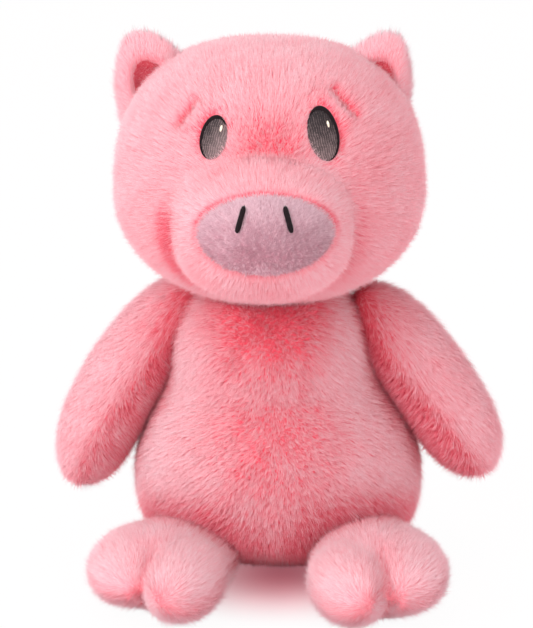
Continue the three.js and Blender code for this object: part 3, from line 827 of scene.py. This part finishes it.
def body_tone_and_painted_shade(root, normal):
    """Deeper down the middle of the front, painted shade of the upright pile; most of all under the chin, the
    head's painted shadow; where the fur nears an arm's or a leg's, painted crevice shade; along the seam under
    the belly; and towards the toy's left, painted shade on the side away from the key light."""
    middle = np.exp(-(((root[:, 0] - body_middle(root[:, 2])) / (40 - 6 * smooth(90, 125, root[:, 2]))) ** 4))
    front = smooth(0.1, 0.8, -normal[:, 1]) * middle
    # painted shadow of the head on the chest under the chin
    chest = smooth(108, 142, root[:, 2]) * smooth(-0.1, 0.6, -normal[:, 1]) * middle
    seam = bell(root[:, 0] / 1.6) * (root[:, 1] < 0) * smooth(40, 15, root[:, 2])
    # painted shade in the crevices where an arm or a leg nears the body
    touch, reach = 0, 4 + 5 * smooth(120, 95, root[:, 2])
    for _, side in SIDES:
        touch = np.maximum(touch, closeness(arm_gap(root, side), reach) * smooth(-0.8, -0.2, normal[:, 1]))
        touch = np.maximum(touch, closeness(foot_gap(root, side), 13))
    touch = touch * (root[:, 1] < 20)
    # the tone falls towards the toy's left: painted shade on the side away from the key light
    return 0.3 - 0.1 * smooth(20, 60, root[:, 0]) - 0.28 * front - 0.42 * chest - 0.2 * seam - 0.85 * touch


def body_short(root, normal):
    """Shorter near the surface it sits on."""
    return 0.45 + 0.55 * smooth(2, 14, root[:, 2])


body_skin = above_floor(clear_of_head(grown(body_grid(), -BACKING), 0.5))
body = finish_mesh(skin_object("body_skin", body_skin), "torso", BACKING_CLOTH, "fur")
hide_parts("body_cover", "body_stuffing", "pellet_pouch")


def body_comb(root, normal):
    """Down and outwards from the middle of the front, where it stands most upright."""
    way = joined(np.clip(root[:, 0] / 30, -1, 1) * 0.9, 0, -1.0)
    middle = smooth(0.2, 0.8, -normal[:, 1]) * smooth(0.66, 0.25, np.abs(normal[:, 0]))
    upright = middle * (0.55 + 0.25 * smooth(104, 130, root[:, 2]))
    return lie(normal, way, 0.95 - 0.25 * smooth(0.3, 0.9, np.abs(normal[:, 0])) - upright)


fur(
    "body_fur", body_skin, body_comb, "torso", PINK_FUR, keep=body_keep, tone=body_tone_and_painted_shade,
    shorten=body_short, seed=11,
)

# The neck, a cloth ball that the head turns on


def neck_grid(rows=60, columns=90):
    """A ball, drawn in a little by the stitches round its middle."""
    down, around = angles(rows, columns)
    radius = NECK["radius"] - 0.35 * bell((down - math.pi / 2) / 0.05) * (1.4 + np.cos(around * 26))
    x = NECK["side"] + radius * np.sin(down) * np.cos(around)
    y = radius * np.sin(down) * np.sin(around)
    return joined(x, y, NECK["height"] + radius * np.cos(down))


neck = finish_mesh(skin_object("neck_ball", neck_grid()), "neck", BACKING_CLOTH, "fur")
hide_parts("neck_stuffing")

# The head


def brow_dent(points):
    """How far each tuck draws the skin in: a groove across the line, fading at its ends."""
    depth = 0
    for _, side in SIDES:
        along, across = brow_place(points, side)
        fade = smooth(1.15, 0.6, np.abs(along) / BROW[side]["half_length"]) * (points[..., 1] < 0)
        depth = depth + fade * (5 * bell(across / 1.4) - 1.6 * bell((across + 4) / 2.5))
    return depth


def between_eyes(root):
    """1 in the middle of the brow, fading round it as a bell."""
    return np.exp(-((root[:, 0] / 17) ** 4) - ((root[:, 2] - 231) / 15) ** 4) * (root[:, 1] < 0)


def head_keep(root, normal):
    """Not under the muzzle, and not on an eye."""
    kept = muzzle_value(root, -3.6) > 1
    for _, side in SIDES:
        kept &= (eye_share(root, side) > 0.98) | (root[:, 1] > 0)
    return kept


def head_comb(root, normal):
    """Away from the muzzle over the face, back over the crown and down behind. It stands upright
    between the eyes, and turns a little away from each brow tuck."""
    front = smooth(10, -20, root[:, 1])[:, None]
    crown = smooth(0.55, 0.95, normal[:, 2])[:, None]
    flow = unit(root - np.array([0, -40, 198])) * front + DOWN * (1 - front) + np.array([0, 0.8, 0]) * crown
    amount = 1.0 - 0.7 * between_eyes(root)
    for _, side in SIDES:
        along, across = brow_place(root, side)
        near = bell(across / 3.0) * (np.abs(along) < BROW[side]["half_length"]) * (root[:, 1] < 0)
        c, s = math.cos(BROW[side]["lean"]), math.sin(BROW[side]["lean"])
        flow = flow + (near * np.sign(across))[:, None] * np.array([side * s, 0, c]) * 0.7
    return lie(normal, flow, amount)


def head_short(root, normal):
    """Shorter round the eyes and at the tucks."""
    scale = np.ones(len(root))
    for _, side in SIDES:
        front = root[:, 1] < 0
        scale = scale - 0.6 * bell((eye_share(root, side) - 1) / 0.4) * front
        along, across = brow_place(root, side)
        scale = scale - 0.4 * bell(across / 2.0) * (np.abs(along) < BROW[side]["half_length"]) * front
    return np.clip(scale, 0.3, 1)


def head_tone_and_painted_shade(root, normal):
    """Painted shade: deeper between the eyes where the pile stands up, in the tucks' creases, round each eye's
    outer end, in the crease beside the muzzle and low down under the head, and paler towards the toy's right,
    the side the key light falls on."""
    front = root[:, 1] < 0
    shade = -0.12 * between_eyes(root)
    for _, side in SIDES:
        along, across = brow_place(root, side)
        # painted shade in each tuck's crease
        tuck = bell((across - 1) / 1.1) * (np.abs(along) < BROW[side]["half_length"]) * front
        shade = shade - BROW[side]["tone"] * tuck
        # painted shade round each eye's outer end
        outer = side * (root[:, 0] - EYE[side]["side"]) + 0.5 * (root[:, 2] - EYE[side]["height"])
        shade = shade - 0.5 * bell((eye_share(root, side) - 1.05) / 0.16) * smooth(0, 6, outer) * front
    # painted shade in the crease beside the muzzle and low on the face
    gap = (np.maximum(muzzle_value(root), 0) ** (1 / SOFT_FULLNESS) - 1) * 38
    low = smooth(212, 200, root[:, 2]) * front
    shade = shade - closeness(gap - 1, 2.5) * (0.6 * cheek_crease(root) + 0.2 * low)
    # painted shade under the head, and towards the toy's left, away from the key light
    return shade + 0.14 - 0.1 * smooth(10, 60, root[:, 0]) - 0.25 * smooth(154, 145, root[:, 2])


def cheek_crease(points):
    """1 beside and under the muzzle on the toy's right, where a crease parts it from the cheek."""
    a = points[..., 0] - MUZZLE["centre"][0]
    b = points[..., 2] - MUZZLE["centre"][2] + 6
    bearing = np.arctan2(b, -a)
    return smooth(-1.0, -0.4, bearing) * smooth(0.5, 0.1, bearing) * (points[..., 1] < 0)


head_skin = grown(head_grid(), -BACKING)
head_skin = head_skin - normals_of(head_skin) * brow_dent(head_skin)[..., None]
head = finish_mesh(skin_object("head_skin", to_head(head_skin)), "head", BACKING_CLOTH, "fur")
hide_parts("head_cover", "head_stuffing")
fur(
    "head_fur", head_skin, head_comb, "head", PINK_FUR, keep=head_keep, tone=head_tone_and_painted_shade,
    shorten=head_short, seed=21, on_head=True,
)


def muzzle_keep(root, normal):
    """Outside the head, and off the snout pad."""
    return (head_value(root, -4.6) > 1) & ((pad_share(root) > 0.95) | (root[:, 1] > MUZZLE["centre"][1]))


def muzzle_comb(root, normal):
    """Away from the snout pad's middle, and more upright at its rim."""
    way = (root - np.array([0, -88, PAD["height"]])) * np.array([0.7, 1, 1])
    return lie(normal, way, 0.95 - 0.4 * smooth(1.25, 1.0, pad_share(root)))


def muzzle_short(root, normal):
    """Shorter at the snout pad's rim."""
    return 1 - 0.4 * smooth(1.25, 1.0, pad_share(root))


def muzzle_tone_and_painted_light(root, normal):
    """Paler than the cheeks, most of all on the crest round the pad, a painted highlight, but deep over the
    pad's rim and in the crease beside it on the toy's right, painted shade.
    """
    share = pad_share(root)
    # painted shade over the pad's rim, most towards its top
    rim = smooth(1.08, 1.01, share) * (0.3 + 0.7 * smooth(PAD["height"] - 4, PAD["height"] + 12, root[:, 2]))
    gap = (head_value(root) ** (1 / SOFT_FULLNESS) - 1) * HEAD["depth"]
    # the crest's paleness is a painted highlight; the crease beside the muzzle gets painted shade
    return 0.1 + 0.14 * smooth(1.35, 1.15, share) - 1.0 * rim - 0.5 * closeness(gap - 1, 2.5) * cheek_crease(root)


def muzzle_flare(points):
    """Spreads the muzzle's top out where it meets the face, as far as the square of its nearness to
    it, so that the two run into each other."""
    distance = (head_value(points, -BACKING) ** (1 / SOFT_FULLNESS) - 1) * HEAD["depth"]
    centre = np.array(MUZZLE["centre"])
    out = unit((points - centre) * np.array([1, 0, 1]))
    near = smooth(12, -2, distance) ** 2 * smooth(-30, -50, points[..., 1])
    return points + out * (3 * near * smooth(-0.2, 0.6, out[..., 2]))[..., None]


muzzle_skin = muzzle_flare(grown(muzzle_grid(), -BACKING))
face = face_front(muzzle_skin[..., 0], muzzle_skin[..., 2], -BACKING) - 0.3
muzzle_skin = joined(muzzle_skin[..., 0], np.minimum(muzzle_skin[..., 1], face), muzzle_skin[..., 2])
muzzle = finish_mesh(skin_object("muzzle_skin", to_head(muzzle_skin)), "head", PALE_BACKING, "fur")
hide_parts("muzzle_cover")
fur(
    "muzzle_fur", muzzle_skin, muzzle_comb, "head", PINK_FUR, pile=4.8, keep=muzzle_keep,
    shorten=muzzle_short, tone=muzzle_tone_and_painted_light, seed=31, on_head=True,
)


def pad_grid(rows=50, columns=90):
    """An oval cushion: its front follows the muzzle's front, and its back lies 3 mm behind."""
    down, around = angles(rows, columns)
    reach = np.sin(down) ** 0.8
    x = PAD["side"] + PAD["width"] * reach * np.cos(around)
    z = PAD["height"] + PAD["rise"] * reach * np.sin(around)
    face = muzzle_front(x, z, -1.6)
    y = np.where(down < math.pi / 2, face + 1.2 * reach**4, face + 1.2 * reach**4 + 2.6 * np.abs(np.cos(down)))
    return joined(x, y, z)


pad_skin = pad_grid()
pad = finish_mesh(skin_object("snout_pad_skin", to_head(pad_skin)), "head", SNOUT_CLOTH, "snout_plush")
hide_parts("snout_pad")


def pad_comb(root, normal):
    """Up, and more upright towards its foot."""
    high = smooth(PAD["height"] - 18, PAD["height"] + 14, root[:, 2])
    way = joined(root[:, 0] * 0.03, 0, 1.0)
    return lie(normal, way, 0.42 + 0.25 * high)


def pad_tone(root, normal):
    """Deepest in the middle, towards the pad's foot."""
    return -0.04 - 0.34 * np.exp(-(((root[:, 0] - PAD["side"]) / 20) ** 2) - ((root[:, 2] - 190) / 9) ** 2)


fur(
    "snout_fur", pad_skin, pad_comb, "head", SNOUT_FUR, slot="snout_plush", pile=2.3, width=0.24,
    keep=lambda root, normal: normal[:, 1] < 0.1, dense=(2, 16), tone=pad_tone, seed=41, on_head=True,
)

# Arms and legs

for label, side in SIDES:
    skin = grown(arm_grid(side), -BACKING)
    skin = clear_of_head(clear_of_body(skin, 0.5 - BACKING), 1.5)
    seam = dict(blend=("torso", f"{label}_arm", (side * 0.050, 0, 0.134), (side * 0.072, 0, 0.114)))
    arm = finish_mesh(skin_object(f"arm_{label}_skin", skin), None, BACKING_CLOTH, "fur", **seam)
    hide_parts(f"arm_{label}_cover", f"arm_{label}_stuffing")

    def parting(root, normal, side=side):
        """How far out from the arm's parting a place is, from -1 to 1 or so: round the arm from its
        middle line, less the parting's own place, which drifts from the inside to the front."""
        down = np.clip((146 - root[:, 2]) / 106, 0, 1)
        round_arm = side * normal[:, 0] * 0.86 + normal[:, 2] * (0.5 - 0.3 * down)
        return round_arm - (-0.75 + 0.85 * down)

    def arm_comb(root, normal, side=side, parting=parting):
        """Outwards and down on one side of the parting, inwards and down on the other."""
        place = parting(root, normal)
        turn = np.clip(place / 0.25, -1, 1)
        front = smooth(0.3, -0.3, normal[:, 1])
        way = joined(side * (0.9 * turn * front), 0, -0.9)
        upright = bell(place / 0.3) * front
        return lie(normal, way, 1.1 - 0.85 * upright)

    def arm_tone_and_painted_shade(root, normal, side=side, parting=parting):
        """Deep in the parting, and on the arm's inner front as painted shade, most on the toy's left arm, away
        from the key light; deep by the body as painted crevice shade; and paler outside the parting.
        """
        place = parting(root, normal)
        front = smooth(0.1, -0.4, normal[:, 1])
        # the parting itself, and painted shade on the arm's inner front, more on the toy's left arm
        parted = 0.2 * bell(place / 0.25) + (0.26 + 0.12 * side) * smooth(0.25, -0.2, place)
        # painted crevice shade by the body, and a deeper toy's left arm, away from the key light
        return 0.15 - 0.05 * side - front * parted - 0.8 * closeness(body_gap(root), 13)

    fur(
        f"arm_{label}_fur", skin, arm_comb, None, PINK_FUR, pile=5, seed=51 + side, tone=arm_tone_and_painted_shade,
        keep=lambda root, normal: (in_body(root, -2) > 1) & (head_value(from_head(root), -2) > 1), **seam,
    )

    skin = grown(foot_grid(side), -BACKING)
    skin = above_floor(clear_of_body(skin, 0.5 - BACKING))
    seam = dict(blend=("torso", f"{label}_leg", (side * 0.040, -0.034, 0.025), (side * 0.046, -0.060, 0.025)))
    leg = finish_mesh(skin_object(f"leg_{label}_skin", skin), None, PALE_BACKING, "fur", **seam)
    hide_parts(f"leg_{label}_cover", f"leg_{label}_stuffing")

    def cleft(root, side=side):
        """1 in the cleft between the toes, fading over a few millimetres."""
        local = foot_frame(root, side)
        return bell((local[:, 1] - CLEFT[side]) / 3.4) * smooth(40, 76, local[:, 0])

    def foot_comb(root, normal, side=side):
        """Out from the cleft and up over the toes, and back over the instep."""
        local = foot_frame(root, side)
        out = np.clip((local[:, 1] - CLEFT[side]) / 7, -1, 1)
        way = joined(side * 0.9 * out, 1.2 * smooth(0.1, 0.6, normal[:, 2]), 0.55)
        return lie(normal, way, 0.85)

    def foot_tone_and_painted_shade(root, normal, side=side, cleft=cleft):
        """Pale, most of all on the toes' fronts, but deep in the cleft and by the body, painted shade in those
        creases.
        """
        front = smooth(0.2, 0.7, -normal[:, 1]) * smooth(38, 30, root[:, 2])
        return 0.24 + 0.3 * front - 0.6 * cleft(root) - 0.6 * closeness(body_gap(root), 8)

    fur(
        f"leg_{label}_fur", skin, foot_comb, None, PINK_FUR, pile=4.8, seed=61 + side,
        keep=lambda root, normal: (in_body(root, -2) > 1) & (root[:, 2] > 0.8),
        tone=foot_tone_and_painted_shade,
        shorten=lambda root, normal, cleft=cleft: 1 - 0.3 * cleft(root), **seam,
    )

# Ears and tail

for label, side in SIDES:
    skin = grown(ear_grid(side), -1.2)
    ear = finish_mesh(skin_object(f"ear_{label}_skin", to_head(skin)), "head", PALE_BACKING, "fur")
    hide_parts(f"ear_{label}_back", f"ear_{label}_lining")

    def in_cup(root, side=side):
        """The cup's depth at a place, along the ear's own leaning lines."""
        c, s = math.cos(EAR_LEAN), side * math.sin(EAR_LEAN)
        a = root[:, 0] - EAR["side"][side]
        b = root[:, 2] - EAR["height"]
        return cup_depth(c * a - s * b, c * b + s * a)

    def ear_comb(root, normal, side=side):
        """Up and outwards from the middle of the ear's foot."""
        return lie(normal, root - np.array([EAR["side"][side], 0, EAR["height"] - 20]), 1.0)

    fur(
        f"ear_{label}_fur", skin, ear_comb, "head", PINK_FUR, pile=4.4, seed=71 + side, on_head=True,
        keep=lambda root, normal, in_cup=in_cup: (head_value(root, -4) > 1)
        & ((in_cup(root) < 0.5) | (root[:, 1] > EAR["back"] + 6) | (normal[:, 1] > 0.2)),
        # deeper into the cup on the ear's front: painted shade in its hollow
        tone=lambda root, normal, in_cup=in_cup: 0.34 - 0.5 * in_cup(root) * (normal[:, 1] < 0),
    )
    fur(
        f"ear_{label}_lining_fur", skin, lambda root, normal: lie(normal, np.array([0.5, 0, 0.3]), 0.8), "head",
        LINING_FUR, slot="ear_lining", pile=2.4, seed=81 + side, on_head=True, dense=(2, 10),
        keep=lambda root, normal, in_cup=in_cup: (in_cup(root) >= 0.35) & (normal[:, 1] < 0)
        & (head_value(root, -2) > 1),
    )

skin = grown(tail_grid(), -1.0)
tail = finish_mesh(skin_object("tail_skin", skin), "torso", PALE_BACKING, "fur")
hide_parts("tail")
fur(
    "tail_fur", skin, lambda root, normal: lie(normal, np.array([0, 1, 0.2]), 0.7), "torso",
    PINK_FUR, pile=4.5, seed=91, keep=lambda root, normal: in_body(root, -2) > 1, dense=(3, 3),
)

# Stitched eyes, glints and nostrils


def patch_object(name, a, b, height, back, place, material, slot):
    """A closed stitched patch: a grid of heights over a surface, with its back at an even depth."""
    top = place(a, b, height)
    bottom = place(a, b, np.full_like(height, back))
    rows, columns = a.shape
    index = np.arange(rows * columns).reshape(rows, columns)
    p, q, r, s = index[:-1, :-1], index[:-1, 1:], index[1:, 1:], index[1:, :-1]
    upper = np.stack([p, q, r, s], -1).reshape(-1, 4)
    lower = upper[:, ::-1] + rows * columns
    edge = np.concatenate([index[0, :-1], index[:-1, -1], index[-1, :0:-1], index[:0:-1, 0]])
    after = np.roll(edge, -1)
    walls = np.stack([after, edge, edge + rows * columns, after + rows * columns], -1)
    vertices = np.vstack([top.reshape(-1, 3), bottom.reshape(-1, 3)])
    triangles = facing_out(vertices, halved(np.vstack([upper, lower, walls])))
    obj = mesh_object(name, to_head(vertices), triangles)
    return finish_mesh(obj, "head", material, slot)


def square_to_disc(count_a, count_b):
    """A square grid drawn onto the unit disc, so that no row meets in a point."""
    u = np.linspace(-1, 1, count_a)[None, :] + np.zeros((count_b, 1))
    v = np.linspace(-1, 1, count_b)[:, None] + np.zeros((1, count_a))
    return u * np.sqrt(1 - v * v / 2), v * np.sqrt(1 - u * u / 2)


def on_face(side, middle, lean):
    """Lays (across, up, height) of a leaning patch on the face's skin."""

    def place(a, b, height):
        """The place of each, by the face's formula and its normal there."""
        c, s = math.cos(lean), side * math.sin(lean)
        x = middle[0] + a * c - b * s
        z = middle[1] + a * s + b * c
        return joined(x, face_front(x, z), z) + face_normal(x, z) * height[..., None]

    return place


def stitches(across, along, wide, long, seed):
    """Rows of short stitches side by side, each row begun half a stitch on from the last: their round
    backs' height, and one even random number for each stitch, the broken part of a large sine."""
    row = np.floor(across / wide)
    number = np.floor(along / long + row * 0.5)
    each = np.sin(row * 12.9898 + number * 78.233 + seed) * 43758.5453
    place = along / long + row * 0.5 - number
    back = np.abs(np.sin(math.pi * across / wide)) * np.sqrt(np.sin(math.pi * place).clip(0))
    return back, each - np.floor(each)


for label, side in SIDES:
    eye_form = EYE[side]
    u, v = square_to_disc(100, 90)
    a, b = u * eye_form["width"], v * eye_form["rise"]
    reach = np.hypot(u, v)
    dome = 1.2 * (1 - reach**2.5) - 1.6
    back, each = stitches(a + 0.12 * np.sin(b * 1.3), b, 1.05, 0.8, side)
    height = dome + 0.22 * back + 0.08 * each
    dark = EYE_TONE[side]
    # paler on each stitch's raised back, a painted sheen; each stitch also differs at random
    tone = dark["middle"] - dark["down"] * v - dark["inwards"] * side * u + 0.32 * back + 0.16 * (each - 0.5)
    place = on_face(side, (eye_form["side"], eye_form["height"]), EYE_LEAN)
    eye = patch_object(f"eye_{label}_stitches", a, b, height, -BACKING - 0.5, place, EYE_THREAD, "eye_thread")
    shade = eye.data.attributes.new("stitch_shade", "FLOAT", "POINT")
    shade.data.foreach_set("value", np.tile(np.clip(tone, 0, 1).ravel(), 2).astype(np.float32))
    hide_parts(f"eye_{label}")

    around = np.linspace(0, TURN, 241)[:, None]
    across = np.linspace(-1, 1, 9)[None, :]
    outer = 0.5 + 0.5 * np.cos(around - RIM_THICKEST[side])
    wide = 0.05 + 0.85 * outer**1.5
    ring = 1 + across * wide / eye_form["width"]
    a = eye_form["width"] * ring * np.cos(around)
    b = eye_form["rise"] * ring * np.sin(around)
    height = 0.45 * np.sqrt(np.maximum(1 - across**2, 0)) + 0.12 * np.abs(np.sin(around * 62)) - 1.5
    height = height - 1.5 * (1 - outer) ** 3
    patch_object(f"eye_{label}_outline", a, b, height, -BACKING - 0.5, place, DARK_THREAD, "eye_thread")

    u, v = square_to_disc(24, 30)
    spot = on_face(side, (eye_form["side"] + GLINT["side"][side], eye_form["height"] + GLINT["up"]), EYE_LEAN)
    height = -0.5 + 0.35 * (1 - np.hypot(u, v) ** 2) + 0.06 * np.abs(np.sin(u * 9))
    a, b = u * GLINT["width"], v * GLINT["rise"]
    glint = patch_object(f"eye_{label}_glint", a, b, height, -1.5, spot, PALE_THREAD, "glint_thread")
    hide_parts(f"eye_glint_{label}")

    def on_pad(p, q, height, side=side):
        """Lays a nostril's patch on the snout pad."""
        c, s = math.cos(NOSTRIL["lean"]), -side * math.sin(NOSTRIL["lean"])
        x = side * NOSTRIL["side"] + NOSTRIL["shift"] + p * c + q * s
        z = NOSTRIL["height"] - p * s + q * c
        return joined(x, muzzle_front(x, z, 0) - height, z)

    u = np.linspace(-1, 1, 14)[None, :] + np.zeros((90, 1))
    v = np.linspace(-1, 1, 90)[:, None] + np.zeros((1, 14))
    height = 0.9 * (1 - np.abs(u) ** 2.2) * (1 - np.abs(v) ** 12) + 0.14 * np.abs(np.sin(v * 34)) + 0.2
    u, v = u * (1 - 0.3 * v**6), v * (1 - 0.1 * u * u)
    a, b = u * NOSTRIL["width"], v * NOSTRIL["rise"]
    nostril = patch_object(f"nostril_{label}_stitches", a, b, height, -3, on_pad, DARK_THREAD, "nostril_thread")
    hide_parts(f"nostril_{label}")

# The filling, seen only at an open seam

for solid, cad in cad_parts.items():
    if solid.endswith("_stuffing") or solid == "pellet_pouch":
        cad.data.materials.clear()
        cad.data.materials.append(POUCH if solid == "pellet_pouch" else FIBRE)

# Floor, light and camera


def floor_material():
    """White, painted pinker under the toy in both its colour and the white that the camera sees, as the pink
    bounce light and pink shadow that the toy would throw. Further out the camera sees more and more of the
    white itself, and less shadow."""
    material, tree, shader = new_material("floor", 0.9, 0.0, 0.0)
    place = node(tree, "TexCoord", {}).outputs["Object"]
    distance = node(tree, "VectorMath", {0: place, 1: (0.002, -0.015, 0)}, operation="DISTANCE").outputs["Value"]
    bounds = {"Value": distance, "From Min": 0.0, "From Max": 0.08, "To Min": 0.3, "To Max": 0.97}
    far = node(tree, "MapRange", bounds, interpolation_type="SMOOTHSTEP").outputs["Result"]
    near = node(tree, "MapRange", {"Value": distance, "From Max": 0.075}).outputs["Result"]
    # painted pink bounce light and shadow under the toy
    painted_bounce_pink = rgb(252, 150, 166)
    tree.links.new(ramp(tree, near, [(0.0, painted_bounce_pink), (1.0, rgb(254, 228, 232))]), shader.inputs["Base Color"])
    seen = node(tree, "LightPath", {}).outputs["Is Camera Ray"]
    share = node(tree, "Math", {0: far, 1: seen}, operation="MULTIPLY").outputs[0]
    # the white that the camera sees is painted pink near the toy too
    paler = ramp(tree, near, [(0.0, painted_bounce_pink), (1.0, rgb(255, 255, 255))])
    white = node(tree, "Emission", {"Color": paler, "Strength": 1}).outputs[0]
    both = node(tree, "MixShader", {"Fac": share, 1: shader.outputs[0], 2: white}).outputs[0]
    tree.links.new(both, tree.nodes["Material Output"].inputs["Surface"])
    return material


def grid_plane(name, half, z):
    """A flat square."""
    corners = np.array([(-half, -half, z), (half, -half, z), (half, half, z), (-half, half, z)], float)
    return mesh_object(name, corners, np.array([[0, 1, 2, 3]]), False)


floor = grid_plane("floor", 6000, -0.05)
floor.data.materials.append(floor_material())

world = bpy.data.worlds.new("studio")
bpy.context.scene.world = world
world.use_nodes = True
sky = world.node_tree.nodes["Background"]
sky.inputs["Color"].default_value = (1, 1, 1, 1)
sky.inputs["Strength"].default_value = 1.0


def lamp(name, place, size, power):
    """A square soft light, aimed at the toy's middle."""
    light = bpy.data.lights.new(name, "AREA")
    light.size = size
    light.energy = power
    obj = bpy.data.objects.new(name, light)
    bpy.context.scene.collection.objects.link(obj)
    obj.location = place
    aim = np.array([0, 0, 0.15]) - np.array(place)
    yaw = math.atan2(aim[0], -aim[1])
    pitch = math.atan2(math.hypot(aim[0], aim[1]), -aim[2])
    obj.rotation_euler = (pitch, 0, math.pi + yaw)


lamp("key_light", (-1.4, -1.35, 1.2), 1.0, 28.5)
lamp("fill_light", (0.8, -1.75, 0.3), 1.2, 13)
lamp("top_light", (-0.1, -0.5, 1.8), 1.2, 7.5)

level = math.cos(CAMERA_ELEVATION)
back = np.array([math.sin(CAMERA_AZIMUTH) * level, -math.cos(CAMERA_AZIMUTH) * level, math.sin(CAMERA_ELEVATION)])
right = np.array([math.cos(CAMERA_AZIMUTH), math.sin(CAMERA_AZIMUTH), 0])
up = np.cross(back, right)
centre = right * (PHOTO_WIDTH / 2 - SEAT_PIXEL[0]) * PIXEL_MM + up * (SEAT_PIXEL[1] - PHOTO_HEIGHT / 2) * PIXEL_MM
camera_data = bpy.data.cameras.new("camera")
camera_data.sensor_fit = "HORIZONTAL"
camera_data.sensor_width = 36
camera_data.lens = 36 * CAMERA_DISTANCE / PIXEL_MM / PHOTO_WIDTH
camera_data.clip_end = 30
camera = bpy.data.objects.new("camera", camera_data)
bpy.context.scene.collection.objects.link(camera)
camera.location = (centre + back * CAMERA_DISTANCE) * MM
camera.rotation_euler = (math.pi / 2 - CAMERA_ELEVATION, 0, CAMERA_AZIMUTH)
bpy.context.scene.camera = camera
bpy.context.scene.view_settings.view_transform = "Standard"
